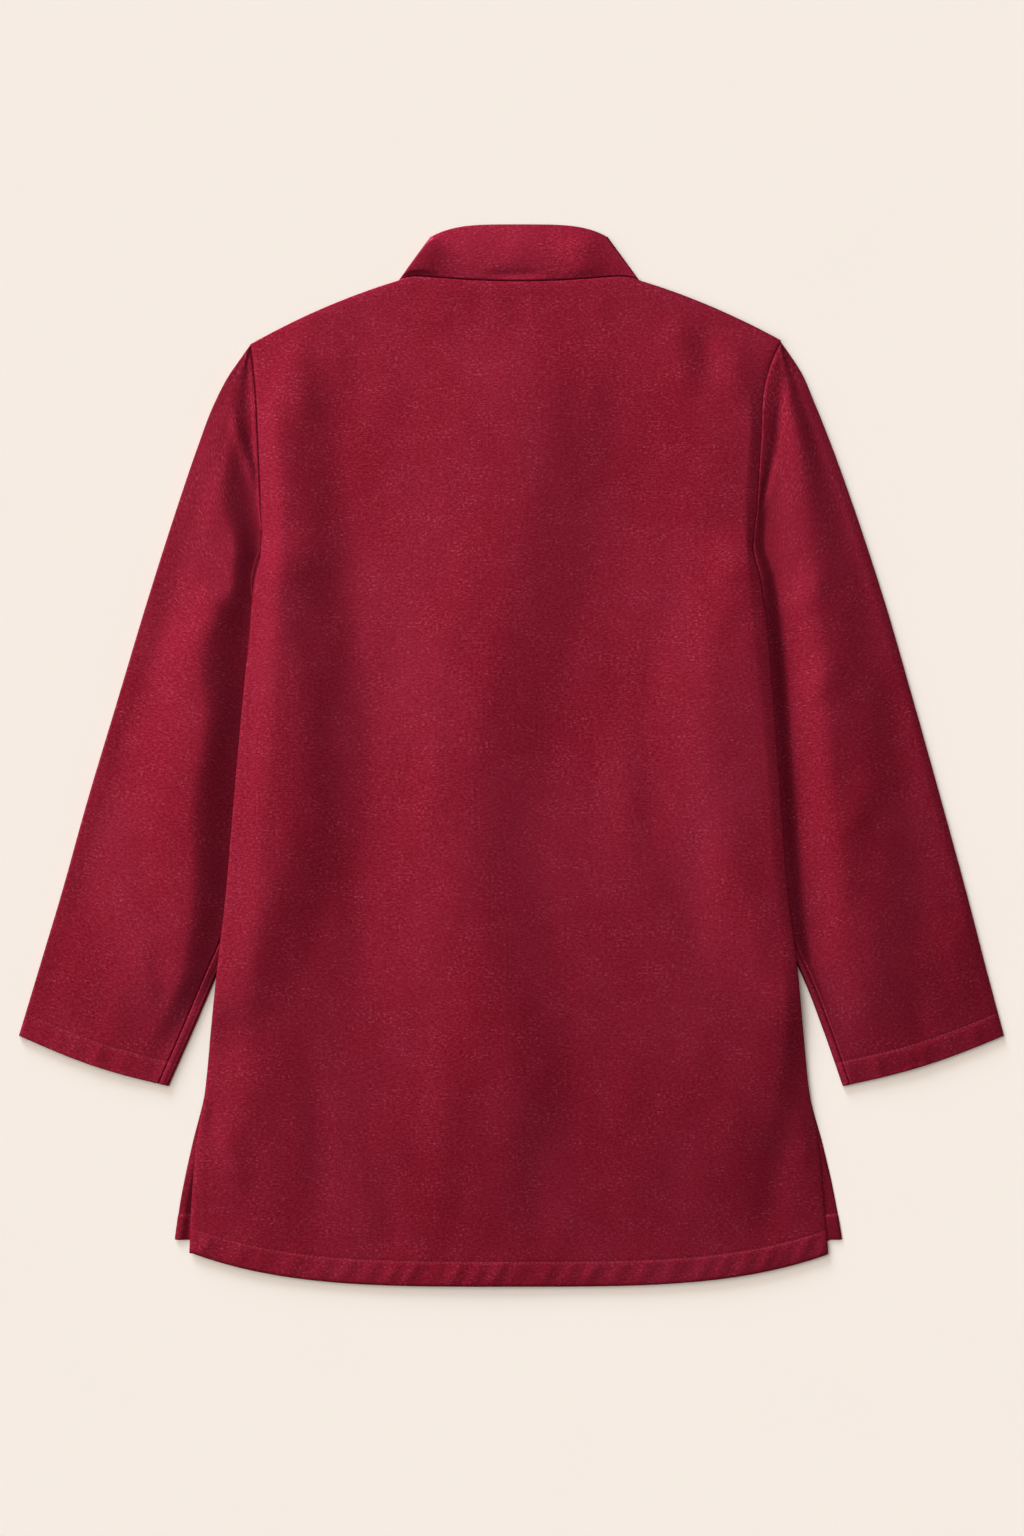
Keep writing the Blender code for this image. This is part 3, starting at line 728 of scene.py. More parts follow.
def mesh_object(name: str, points: Array, faces: Array, flat: Array | None = None) -> bpy.types.Object:
    """Make an object from arrays, turned outwards, with its flat pattern as a UV map in metres.

    Args:
        name: The object's name.
        points: Vertices in millimetres, one row each.
        faces: Vertex indices of the four-sided faces.
        flat: Each vertex's place on the flat cloth in millimetres.

    Returns:
        The new object, smooth shaded.
    """
    v = points[faces]
    volume = np.sum(np.cross(v[:, 0], v[:, 1]) * v[:, 2]) + np.sum(np.cross(v[:, 0], v[:, 2]) * v[:, 3])
    if volume < 0.0:
        faces = faces[:, ::-1]
    mesh = bpy.data.meshes.new(name)
    mesh.vertices.add(len(points))
    mesh.vertices.foreach_set("co", (points * MM).astype(np.float32).ravel())
    mesh.loops.add(faces.size)
    mesh.loops.foreach_set("vertex_index", faces.astype(np.int32).ravel())
    mesh.polygons.add(len(faces))
    mesh.polygons.foreach_set("loop_start", np.arange(0, faces.size, 4, dtype=np.int32))
    mesh.update(calc_edges=True)
    mesh.polygons.foreach_set("use_smooth", np.ones(len(faces), bool))
    if flat is not None:
        layer = mesh.uv_layers.new(name="cloth")
        layer.data.foreach_set("uv", (flat[faces.ravel()] * MM).astype(np.float32).ravel())
    mesh.validate()
    thing = bpy.data.objects.new(name, mesh)
    bpy.context.scene.collection.objects.link(thing)
    return thing


def shell_object(name: str, shell: Shell) -> bpy.types.Object:
    """Make a shell's object."""
    return mesh_object(name, *shell.arrays())


class NodeTree:
    """A short way to add and link shader nodes in one tree."""

    def __init__(self, tree: bpy.types.NodeTree) -> None:
        """Keep the tree to add to."""
        self.tree = tree

    def add(self, kind: str, values: dict | None = None, **settings: object) -> bpy.types.Node:
        """Add a node, set its attributes, and set or link its inputs.

        Args:
            kind: The node's type name without its ShaderNode prefix.
            values: Input names or indices, each with a value or an output socket to link from.
            **settings: The node's own attributes.

        Returns:
            The new node.
        """
        prefix = "" if kind.startswith("NodeGroup") else "ShaderNode"
        node = self.tree.nodes.new(prefix + kind)
        for key, value in settings.items():
            setattr(node, key, value)
        for key, value in (values or {}).items():
            self.feed(node.inputs[key], value)
        return node

    def feed(self, socket: bpy.types.NodeSocket, value: object) -> None:
        """Link an output to a socket, or set the socket's value.

        Args:
            socket: The input to feed.
            value: An output socket, or a plain value.
        """
        if isinstance(value, bpy.types.NodeSocket):
            self.tree.links.new(value, socket)
        else:
            socket.default_value = value

    def math(
        self, operation: str, first: object, second: object = 0.0, clamp: bool = False
    ) -> bpy.types.NodeSocket:
        """The output of a Math node."""
        node = self.add("Math", {0: first, 1: second}, operation=operation, use_clamp=clamp)
        return node.outputs[0]

    def ramp(
        self, factor: object, low: float, high: float, to_low: float = 0.0, to_high: float = 1.0
    ) -> bpy.types.NodeSocket:
        """The output of a smooth Map Range."""
        values = {"Value": factor, "From Min": low, "From Max": high, "To Min": to_low, "To Max": to_high}
        return self.add("MapRange", values, interpolation_type="SMOOTHSTEP").outputs[0]

    def noise(
        self, vector: object, scale: float, detail: float = 2.0, rough: float = 0.5
    ) -> bpy.types.NodeSocket:
        """The factor of a Noise Texture."""
        values = {"Vector": vector, "Scale": scale, "Detail": detail, "Roughness": rough}
        return self.add("TexNoise", values).outputs[0]

    def scaled(self, vector: object, across: float, along: float) -> bpy.types.NodeSocket:
        """A Mapping that scales a flat vector across and along the cloth."""
        return self.add("Mapping", {"Vector": vector, "Scale": (across, along, 1.0)}).outputs[0]

    def mix(self, factor: object, first: object, second: object) -> bpy.types.NodeSocket:
        """Mix two colours.

        Args:
            factor: Share of the second colour.
            first: The first colour.
            second: The second colour.

        Returns:
            The Mix node's colour output.
        """
        node = self.add("Mix", data_type="RGBA")
        self.feed(node.inputs["Factor"], factor)
        self.feed(node.inputs[6], first)
        self.feed(node.inputs[7], second)
        return node.outputs[2]


def new_group(
    name: str, inputs: dict[str, float | tuple], outputs: dict[str, str]
) -> tuple[NodeTree, bpy.types.Node, bpy.types.Node]:
    """Start a shader node group with named sockets.

    Args:
        name: The group's name.
        inputs: Socket names with their default values; a triple makes a vector.
        outputs: Socket names with their socket types.

    Returns:
        The group's tree to add to, its input node and its output node.
    """
    tree = bpy.data.node_groups.new(name, "ShaderNodeTree")
    for key, value in inputs.items():
        kind = "NodeSocketVector" if isinstance(value, tuple) else "NodeSocketFloat"
        socket = tree.interface.new_socket(key, in_out="INPUT", socket_type=kind)
        socket.default_value = value
    for key, kind in outputs.items():
        tree.interface.new_socket(key, in_out="OUTPUT", socket_type=kind)
    nodes = NodeTree(tree)
    return nodes, nodes.add("NodeGroupInput"), nodes.add("NodeGroupOutput")


def slub_weave_group() -> bpy.types.NodeTree:
    """Plain silk weave with uneven weft: streaks along the weft, fine grain, slow tonal drift, and a mask for
    painted glints.

    Returns:
        A group from a flat-pattern vector in metres to the weave's tone, the mask of painted glints, the
        tonal drift and the height.
    """
    floats = {key: "NodeSocketFloat" for key in ("Tone", "Painted_glint", "Drift", "Height")}
    nodes, given, out = new_group("slub weave", {"Vector": (0.0, 0.0, 0.0)}, floats)
    vector = given.outputs["Vector"]
    slubs = nodes.noise(nodes.scaled(vector, 95.0, 1000.0), 1.0, 2.0, 0.55)
    weft = nodes.noise(nodes.scaled(vector, 260.0, 1150.0), 1.0, 2.0, 0.6)
    warp = nodes.noise(nodes.scaled(vector, 1100.0, 330.0), 1.0, 1.0, 0.5)
    grain = nodes.noise(nodes.scaled(vector, 520.0, 600.0), 1.0, 2.0, 0.6)
    glint_flecks = nodes.noise(nodes.scaled(vector, 430.0, 640.0), 1.0, 1.0, 0.5)
    glint_patches = nodes.noise(nodes.scaled(vector, 38.0, 60.0), 1.0, 3.0, 0.6)
    drift = nodes.noise(nodes.scaled(vector, 9.0, 6.0), 1.0, 3.0, 0.6)
    streaks = nodes.math("MULTIPLY", nodes.ramp(weft, 0.34, 0.66), 0.36)
    specks = nodes.math("MULTIPLY", nodes.ramp(grain, 0.34, 0.66), 0.40)
    bars = nodes.math("MULTIPLY", nodes.ramp(slubs, 0.52, 0.72), 0.24)
    tone = nodes.math("ADD", nodes.math("ADD", streaks, specks), bars)
    # Mask of the painted glints: bright flecks in uneven patches.
    painted_glint = nodes.math("MULTIPLY", nodes.ramp(glint_flecks, 0.50, 0.78), nodes.ramp(glint_patches, 0.40, 0.66, 0.25, 1.0))
    threads = nodes.math("ADD", nodes.math("MULTIPLY", weft, 0.6), nodes.math("MULTIPLY", warp, 0.4))
    height = nodes.math("ADD", nodes.math("MULTIPLY", threads, 0.6), nodes.math("MULTIPLY", slubs, 0.6))
    for key, value in {"Tone": tone, "Painted_glint": painted_glint, "Drift": drift, "Height": height}.items():
        nodes.feed(out.inputs[key], value)
    return nodes.tree


@dataclass(frozen=True)
class Silk:
    """Art silk: a dark red ground with a broad pinkish lustre from its slub weave, and pink glints painted
    into its colour.
    """

    name: str
    ground: tuple[float, float, float] = (0.182, 0.0035, 0.0130)
    lit: tuple[float, float, float] = (0.272, 0.0185, 0.0455)
    # Colour of the painted glints, pink highlight flecks; the share below is how much of the base colour they
    # take.
    painted_glint: tuple[float, float, float] = (0.50, 0.085, 0.140)
    metallic: float = 0.85
    roughness: float = 0.38
    sheen: float = 0.05
    bump_mm: float = 0.10
    bump_strength: float = 0.55
    painted_glint_share: float = 0.40
    drift_middle: float = 0.52
    drift_share: float = 0.9
    sheen_rough: float = 0.45
    sheen_tint: tuple[float, float, float, float] = (1.0, 0.12, 0.20, 1.0)
    specular: float = 0.10

    def build(self, weave: bpy.types.NodeTree) -> bpy.types.Material:
        """Make the material.

        Args:
            weave: The slub weave group.

        Returns:
            The finished material.
        """
        material = bpy.data.materials.new(self.name)
        material.use_nodes = True
        nodes = NodeTree(material.node_tree)
        shader = material.node_tree.nodes["Principled BSDF"]
        place = nodes.add("UVMap", uv_map="cloth").outputs[0]
        group = nodes.add("Group", {}, node_tree=weave)
        nodes.feed(group.inputs["Vector"], place)
        tone, painted_glint, drift = (group.outputs[key] for key in ("Tone", "Painted_glint", "Drift"))
        drift = nodes.math("MULTIPLY", nodes.math("SUBTRACT", drift, self.drift_middle), self.drift_share)
        level = nodes.math("ADD", tone, drift, True)
        colour = nodes.mix(level, (*self.ground, 1.0), (*self.lit, 1.0))
        # Painted glints: pink highlight flecks mixed into the base colour.
        colour = nodes.mix(nodes.math("MULTIPLY", painted_glint, self.painted_glint_share), colour, (*self.painted_glint, 1.0))
        rough = nodes.ramp(tone, 0.25, 0.9, self.roughness + 0.05, self.roughness - 0.06)
        bump = nodes.add("Bump", {"Strength": self.bump_strength, "Distance": self.bump_mm * MM})
        nodes.feed(bump.inputs["Height"], group.outputs["Height"])
        nodes.feed(shader.inputs["Base Color"], colour)
        nodes.feed(shader.inputs["Roughness"], rough)
        nodes.feed(shader.inputs["Normal"], bump.outputs[0])
        shader.inputs["Metallic"].default_value = self.metallic
        shader.inputs["Sheen Weight"].default_value = self.sheen
        shader.inputs["Sheen Roughness"].default_value = self.sheen_rough
        shader.inputs["Sheen Tint"].default_value = self.sheen_tint
        shader.inputs["Specular IOR Level"].default_value = self.specular
        return material


@dataclass(frozen=True)
class Thread:
    """Sewing thread in the cloth's own colour, a little lighter."""

    name: str = "maroon thread"
    shade: tuple[float, float, float, float] = (0.125, 0.007, 0.018, 1.0)
    light: tuple[float, float, float, float] = (0.215, 0.018, 0.036, 1.0)
    strand_scale: float = 2400.0

    def build(self) -> bpy.types.Material:
        """Make the material: twisted strands as a fine noise on object coordinates.

        Returns:
            The finished material.
        """
        material = bpy.data.materials.new(self.name)
        material.use_nodes = True
        nodes = NodeTree(material.node_tree)
        shader = material.node_tree.nodes["Principled BSDF"]
        place = nodes.add("TexCoord").outputs["Object"]
        strands = nodes.noise(place, self.strand_scale, 2.0)
        colour = nodes.mix(strands, self.shade, self.light)
        nodes.feed(shader.inputs["Base Color"], colour)
        shader.inputs["Roughness"].default_value = 0.5
        shader.inputs["Sheen Weight"].default_value = 0.2
        return material


@dataclass(frozen=True)
class Floor:
    """The pale cream surface, barely mottled."""

    size: float = 6.0
    colour: tuple[float, float, float] = (0.930, 0.840, 0.764)
    mottle_scale: float = 9.0
    mottle_shade: float = 0.985

    def build(self) -> bpy.types.Object:
        """Make the floor as a large square at z = 0.

        Returns:
            The floor's object.
        """
        half = self.size / 2.0
        mesh = bpy.data.meshes.new("floor")
        corners = [(-half, -half, 0.0), (half, -half, 0.0), (half, half, 0.0), (-half, half, 0.0)]
        mesh.from_pydata(corners, [], [(0, 1, 2, 3)])
        floor = bpy.data.objects.new("floor", mesh)
        bpy.context.scene.collection.objects.link(floor)
        material = bpy.data.materials.new("cream paper")
        material.use_nodes = True
        nodes = NodeTree(material.node_tree)
        shader = material.node_tree.nodes["Principled BSDF"]
        place = nodes.add("TexCoord").outputs["Object"]
        mottle = nodes.noise(place, self.mottle_scale, 3.0)
        darker = tuple(self.mottle_shade * value for value in self.colour)
        nodes.feed(shader.inputs["Base Color"], nodes.mix(mottle, (*darker, 1.0), (*self.colour, 1.0)))
        shader.inputs["Roughness"].default_value = 0.9
        shader.inputs["Specular IOR Level"].default_value = 0.1
        mesh.materials.append(material)
        return floor


@dataclass
class Dresser:
    """Gives pieces their material and body, and hides the CAD solids that they stand for."""

    silk: dict[str, bpy.types.Material]
    thread: bpy.types.Material

    def cloth(self, piece: bpy.types.Object, finish: str, slot: str, nodes: Sequence[str]) -> None:
        """Dress a cloth piece that stands for CAD nodes.

        Args:
            piece: The cloth.
            finish: Which silk it has.
            slot: Not used.
            nodes: The CAD nodes that it replaces.
        """
        piece.data.materials.append(self.silk[finish])
        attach(piece, "root")
        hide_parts(*nodes)
        LOG.info("%s: %d faces", piece.name, len(piece.data.polygons))

    def sewing(self, piece: bpy.types.Object) -> None:
        """Dress a row of stitches.

        Args:
            piece: The stitches.
        """
        piece.data.materials.append(self.thread)
        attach(piece, "root")
        LOG.info("%s: %d faces", piece.name, len(piece.data.polygons))


@dataclass
class Panel:
    """What the front and back panels share: a grid whose rows follow the hem below and the neck above."""

    front: bool
    fine: float = 0.9
    coarse: float = 3.3

    def plan(self) -> tuple[Array, Array, Array]:
        """The grid's x and y, and each row's height above the panel's own hem.

        A row's y is its height at the side, plus the hem's curve fading upwards, plus the top edge's
        curve fading downwards.

        Returns:
            X, y and height above the hem, each with a value for every grid point.
        """
        hem_side = HEM_SIDE + (FRONT_SHORTER if self.front else 0.0)
        rows = hem_side + spaced(SHOULDER_SIDE - hem_side, self.fine, self.coarse, 24.0, 12.0)
        width = SIDES[0].right - SIDES[0].left
        share = (spaced(width, self.fine, self.coarse * 0.93, 13.0, 13.0) / width)[None, :]
        flap = smooth_read(FLAPS, "out", rows) if self.front else np.zeros(len(rows))
        left = (CUT.body_edge(Side.LEFT, rows) - flap)[:, None]
        right = (CUT.body_edge(Side.RIGHT, rows) + flap)[:, None]
        x = left + share * (right - left)
        hem_weight = (1.0 - ease((rows - HEM_SIDE - HEM_TURN) / HEM_BLEND))[:, None]
        top_weight = ease(1.0 - (SHOULDER_SIDE - rows) / TOP_BLEND)[:, None]
        top_part = top_weight * (CUT.top(x[-1], self.front) - SHOULDER_SIDE)[None, :]
        y = rows[:, None] + hem_weight * (CUT.hem(x) - HEM_SIDE) + top_part
        return x, y, np.broadcast_to((rows - hem_side)[:, None], x.shape)


@dataclass
class BackPanel(Panel):
    """The back, on top of everything: soft lengthwise folds, a turned and stitched hem, seam edges."""

    front: bool = False
    lip: float = 0.4
    lip_run: float = 2.4
    edge_left: float = 1.4
    edge_right: float = 3.4
    edge_right_low: float = 1.1
    edge_bow: float = 0.1
    bow_at: float = 146.0
    bow_reach: float = 13.0
    flap_room: float = 0.15
    ripples: float = 0.09
    hem_raise: float = 0.16
    hem_tilt: float = 0.24
    hem_top: float = 2.2
    hem_fall: float = 5.0
    tucks: int = 30
    tucks_from: float = -262.0
    tuck_height: float = 0.55
    tuck_width: float = 5.2
    tuck_lean: float = 0.45
    drawn_in: float = 0.14
    bridge: float = 66.0
    bridge_ends: float = 26.0

    def inset(self, x: Array, y: Array) -> tuple[Array, Array, Array]:
        """Distances in from the panel's edges.

        Args:
            x: Places across.
            y: Places up.

        Returns:
            Distances from the left edge, the right edge and the top edge.
        """
        left = x - CUT.body_edge(Side.LEFT, y)
        right = CUT.body_edge(Side.RIGHT, y) - x
        return left, right, CUT.top(x, False) - y

    def lift(self, x: Array, y: Array) -> Array:
        """The sleeves' lift, bridging further inwards than the front below it."""
        return CUT.lift(x, y, self.bridge, self.bridge_ends)

    def folds(self, x: Array, y: Array) -> Array:
        """Lengthwise folds, lofted from edge to edge through the sections' crests and hollows.

        Args:
            x: Places across.
            y: Places up.

        Returns:
            Their height at each place.
        """
        knots = [(CUT.body_edge(Side.LEFT, y), np.full_like(y, self.edge_left))]
        for key in ("crest_l", "hollow_l", "crest_m", "hollow_r", "crest_r"):
            place = smooth_read(BODY_SECTIONS, key + "_x", y)
            knots.append((place, smooth_read(BODY_SECTIONS, key + "_z", y)))
        sinking = ease((-150.0 - y) / 120.0)
        right_z = self.edge_right + (self.edge_right_low - self.edge_right) * sinking
        knots.append((CUT.body_edge(Side.RIGHT, y) + 0.01, right_z))
        return section_height(x, knots)

    def relief(self, x: Array, y: Array) -> Array:
        """Rise of the cloth above its plain stack of plies.

        The folds fade towards the hem and the neck, creases and ripples are added, and the edges round
        down: 1 minus an exponential of the distance in.

        Args:
            x: Places across.
            y: Places up.

        Returns:
            The rise at each place.
        """
        left, right, above = self.inset(x, y)
        depth = CUT.hem_depth(x, y)
        nearest = np.minimum(np.minimum(left, right), above)
        fade = (0.6 + 0.4 * ease(above / 90.0)) * (0.25 + 0.75 * ease(depth / 200.0))
        inner = ease(nearest / 16.0) * ease((depth - 4.0) / 30.0)
        details = crease_height(x, y, BACK_CREASES) * ease(nearest / 10.0) * ease(depth / 26.0)
        rounding = self.lip * (1.0 - np.exp(-np.maximum(nearest, 0.0) / self.lip_run))
        lips = rounding * (0.8 + 0.2 * ease(depth / 60.0))
        return self.folds(x, y) * fade + details + slack(x, y, SEED, self.ripples) * inner + lips

    def hem_pucker(self, x: Array, depth: Array) -> Array:
        """Slanting tucks in the turned hem, uneven in size and spacing, pulled in at the stitch line.

        Args:
            x: Places across.
            depth: Heights above the hem's edge.

        Returns:
            The tucks' height at each place.
        """
        along = x - self.tucks_from - self.tuck_lean * (depth - HEM_TURN / 2)
        height = tuck_row(along, SEED + 1, self.tucks, (13.0, 27.0), 0.25, self.tuck_width)
        band = np.exp(-(((depth - HEM_TURN * 0.52) / 9.5) ** 2))
        drawn = self.drawn_in * np.exp(-(((depth - HEM_TURN) / 1.5) ** 2))
        return self.tuck_height * height * band - drawn

    def top_z(self, x: Array, y: Array) -> Array:
        """Height of the upper face: the plies below, the relief, the turned hem, and its fall at the edge.

        Args:
            x: Places across.
            y: Places up.

        Returns:
            The height at each place.
        """
        depth = CUT.hem_depth(x, y)
        drop = ease(depth / self.hem_fall)
        plain = self.lift(x, y) + TOP + self.flap_room * ease(1.0 - (depth - HEM_TURN) / HEM_TURN)
        turned = self.hem_raise * ease((HEM_TURN + 0.9 - depth) / 1.8)
        turned = turned + self.hem_tilt * ease((HEM_TURN - depth) / HEM_TURN)
        low = self.hem_top + 0.25 * ease(depth / 1.5)
        return drop * plain + (1.0 - drop) * low + self.relief(x, y) + turned + self.hem_pucker(x, depth)

    def build(self, dresser: Dresser) -> bpy.types.Object:
        """Build and dress the back panel, its edge bowed out a little just below the underarm.

        Args:
            dresser: Gives the cloth its material.

        Returns:
            The cloth.
        """
        x, y, _ = self.plan()
        bow = self.edge_bow * np.exp(-(((y - self.bow_at) / self.bow_reach) ** 2))
        x = x + bow * (ease((x - 150.0) / 40.0) - ease((-150.0 - x) / 40.0))
        z = self.top_z(x, y)
        shell = Shell(np.stack([x, y, z], -1), np.stack([x, y, z - SHELL], -1), np.stack([x, y], -1))
        piece = shell_object("back_cloth", shell)
        dresser.cloth(piece, "body", "body_silk", ["back_panel"])
        return piece


@dataclass
class FrontPanel(Panel):
    """The front, face down on the surface: only its slit flaps show."""

    front: bool = True
    coarse: float = 4.6
    strip_half: float = 16.0
    strip_room: float = 0.85
    opening_low: float = 142.0
    wave_height: float = 0.25
    wave_length: float = 9.0
    curl_height: float = 0.9
    curl_start: float = 4.0
    curl_run: float = 6.0

    def strip_under(self, x: Array, y: Array) -> Array:
        """Where the opening's outer strip lies under the panel: 0 beside it, 1 over it."""
        across = ease((self.strip_half + 3.0 - np.abs(x - NECK_MIDDLE + opening_shift(y))) / 3.0)
        return across * ease((y - self.opening_low + 3.0) / 3.0)

    def low_z(self, x: Array, y: Array) -> Array:
        """Height of the under face, which lies on the surface but for the strip and the sleeves."""
        return CUT.lift(x, y) + self.strip_room * self.strip_under(x, y)

    def build(self, dresser: Dresser) -> bpy.types.Object:
        """Build and dress the front panel, its flaps waved at the edge and the left one curled up.

        Args:
            dresser: Gives the cloth its material.

        Returns:
            The cloth.
        """
        x, y, depth = self.plan()
        turned = HEM_RAISE * ease((HEM_TURN + 0.7 - depth) / 1.4)
        edge = np.minimum(x - x[:, :1], x[:, -1:] - x)
        wave = self.wave_height * np.sin(y / self.wave_length) * ease(edge / 2.0) * ease((-290.0 - y) / 30.0)
        curl_fall = ease((x - x[:, :1] - self.curl_start) / self.curl_run)
        curl = self.curl_height * (1.0 - curl_fall) * ease((-285.0 - y) / 60.0)
        low = self.low_z(x, y) + curl
        high = low + SHELL + turned + np.maximum(wave, 0.0)
        shell = Shell(np.stack([x, y, high], -1), np.stack([x, y, low], -1), np.stack([x, y], -1))
        piece = shell_object("front_cloth", shell)
        dresser.cloth(piece, "front", "body_silk", ["front_panel"])
        return piece


@dataclass
class OpeningStrip:
    """A folded strip of the neck opening, plain, as it is hidden."""

    node: str
    left: float
    right: float
    low: float
    z: float
    thickness: float = 0.7
    flat_length: float = 0.178
    flat_filled: float = 0.172

    def build(self, dresser: Dresser) -> bpy.types.Object:
        """Build and dress the strip: a thin wall from the neckline down, its edges rounded off.

        Args:
            dresser: Gives the cloth its material.

        Returns:
            The cloth.
        """
        across = spaced(self.right - self.left, 0.8, 2.5, 3.0, 3.0) + self.left
        share = spaced(1.0, 0.01, 0.02, 0.04, 0.04)[:, None]
        top_x = NECK_MIDDLE + across[None, :]
        y = self.low + share * (CUT.front_neck(top_x) - self.low)
        x = top_x - opening_shift(y)
        edge = np.minimum(across - across[0], across[-1] - across)[None, :]
        z = np.full_like(x, self.z)
        top = z + self.thickness * (0.8 + 0.2 * ease(edge / 2.0))
        outer, inner = np.stack([x, y, top], -1), np.stack([x, y, z], -1)
        piece = shell_object(self.node + "_cloth", Shell(outer, inner, np.stack([y, x], -1)))
        dresser.cloth(piece, "placket", "placket_silk", [self.node])
        return piece


@dataclass
class Sleeve:
    """A sleeve pressed flat: one wall folded at both edges, its underarm seam on the upper ply."""

    side: Side
    sections: Sequence[SleeveSection]
    creases: Sequence[Crease]
    seam_inset: float
    shoulder_rise: float
    fine: float = 0.9
    coarse: float = 3.3
    seam_lap: float = 1.6
    under: float = 16.0
    tucked: float = 15.0
    shelf: float = 17.0
    rim: float = 0.3
    lip: float = 0.0
    edge_room: float = 0.35
    ripples: float = 0.11
    cuff_raise: float = 0.16
    tucks: int = 9
    tuck_height: float = 0.36
    tuck_width: float = 5.0
    tuck_lean: float = 0.3
    drawn_in: float = 0.14
    arc_steps: int = 8
    typical_width: float = 150.0
    armhole_gap: float = 0.40
    armhole_reach: float = 70.0
    underarm_room: float = 2.6
    underarm_at: float = 146.0
    underarm_reach: float = 14.0

    def armhole(self, share: Array) -> Array:
        """The armhole seam.

        Args:
            share: How far along it, from shoulder (0) to underarm (1).

        Returns:
            Points on it.
        """
        top = SHOULDER_SIDE + self.shoulder_rise
        y = top + share * (UNDERARM - 0.2 - top)
        x = CUT.body_edge(self.side, np.minimum(y, SHOULDER_SIDE)) + self.side.value * self.armhole_gap
        return np.stack([x, y], -1)

    def edges(self) -> tuple[Array, Array, Array]:
        """The sleeve's two edges, row by row.

        Stations are read as a smooth curve of their index, at places evenly spaced along the middle.

        Returns:
            Points of the outer edge, points of the inner edge, and the way down from the armhole.
        """
        index = np.linspace(0.0, len(STATIONS) - 1.0, 1600)
        outer_y = smooth_read(STATIONS, "outer_y", -index)
        inner_y = smooth_read(STATIONS, "inner_y", -index)
        outer = np.stack([CUT.sleeve_outer(self.side, outer_y), outer_y], -1)
        inner = np.stack([CUT.sleeve_inner(self.side, inner_y), inner_y], -1)
        middle = 0.45 * outer + 0.55 * inner
        run = np.concatenate([[0.0], np.cumsum(np.linalg.norm(np.diff(middle, axis=0), axis=1))])
        down = spaced(run[-1], self.fine, self.coarse, 6.0, 24.0)
        outer = np.stack([np.interp(down, run, outer[:, k]) for k in (0, 1)], -1)
        inner = np.stack([np.interp(down, run, inner[:, k]) for k in (0, 1)], -1)
        return outer, inner, down

    def inner_bound(self, y: Array) -> Array:
        """Where the visible part ends: the body's edge, or the sleeve's own where it comes out below.

        Args:
            y: Places up.

        Returns:
            X at each of them.
        """
        out = self.side.value
        body = CUT.body_edge(self.side, y) * out
        own = CUT.sleeve_inner(self.side, y) * out
        return out * np.where(y > UNDERARM, body, np.maximum(body, own))

    def folds(self, y: Array, from_bound: Array, width: Array) -> Array:
        """Lengthwise folds from the body's edge outwards: seam, foot, crest, shelf and outer edge.

        Args:
            y: Places up.
            from_bound: Distances out from the body's edge.
            width: The visible part's width at each place.

        Returns:
            Their height at each place.
        """
        read = {key: smooth_read(self.sections, key, y) for key in SleeveSection._fields[1:]}
        start = -0.01 - self.tucked * ease((UNDERARM + 10.0 - y) / 25.0)
        foot = np.maximum(np.minimum(read["foot_in"], width * 0.33), start + 0.5)
        crest = np.minimum(read["crest_in"], width * 0.52)
        shelf = width - np.minimum(self.shelf, width * 0.3)
        return section_height(from_bound, [
            (start - 2.0 * self.under, read["seam_z"]),
            (start, read["seam_z"]),
            (foot, read["foot_z"]),
            (crest, read["crest_z"]),
            (shelf, read["outer_z"]),
            (width + 0.01, read["outer_z"] + self.rim),
        ])

    def relief(self, x: Array, y: Array) -> Array:
        """Rise of the upper ply above its plain height.

        The folds carry creases, ripples and rounded edges; what the body hides falls to the plain height.

        Args:
            x: Places across.
            y: Places up.

        Returns:
            The rise at each place.
        """
        out = self.side.value
        outer = CUT.sleeve_outer(self.side, y) + out * np.maximum(CUFF_OUTER_Y - y, 0.0) * 0.30
        bound = self.inner_bound(y)
        width = np.maximum(np.abs(bound - outer), 1.0)
        out_from_body = (x - bound) * out
        from_bound = np.clip(out_from_body, -self.under, width)
        from_outer = width - from_bound
        cuff = self.cuff_distance(x, y)
        folds = self.folds(y, from_bound, width) * (0.30 + 0.70 * ease(cuff / 85.0))
        details = crease_height(x, y, self.creases) * ease(from_outer / 9.0) * ease(from_bound / 5.0)
        soft = ease(from_outer / 14.0) * ease(from_bound / 10.0)
        ripples = slack(x, y, SEED + 3 + int(out), self.ripples) * soft * ease(cuff / 20.0)
        own_edge = (x - CUT.sleeve_inner(self.side, y)) * out
        near = np.where(y < -150.0, np.minimum(from_outer, own_edge), from_outer)
        lips = self.lip * (1.0 - np.exp(-np.maximum(near, 0.0) / 3.0)) + self.edge_room - self.lip
        visible = folds + details * ease(cuff / 22.0) + ripples + lips
        hidden = (folds + self.edge_room) * (1.0 - ease(-out_from_body / 12.0))
        seam_z = smooth_read(self.sections, "seam_z", y)
        return np.where(out_from_body < 0.0, np.where(y > UNDERARM, seam_z, hidden), visible)

    def cuff_distance(self, x: Array, y: Array) -> Array:
        """Distance up from the cuff's line, which slants from its outer to its inner corner and bows.

        Args:
            x: Places across.
            y: Places up.

        Returns:
            The distance at each place.
        """
        outer = np.array([self.side.value * CUFF_OUT, CUFF_OUTER_Y])
        inner = np.array([CUT.sleeve_inner(self.side, CUFF_INNER_Y), CUFF_INNER_Y])
        run = (inner - outer) / np.linalg.norm(inner - outer)
        across = (x - outer[0]) * run[0] + (y - outer[1]) * run[1]
        bow = CUFF_BOW * np.sin(np.pi * np.clip(across / CUFF_WIDTH, 0.0, 1.0))
        return np.abs((x - outer[0]) * run[1] - (y - outer[1]) * run[0]) + bow

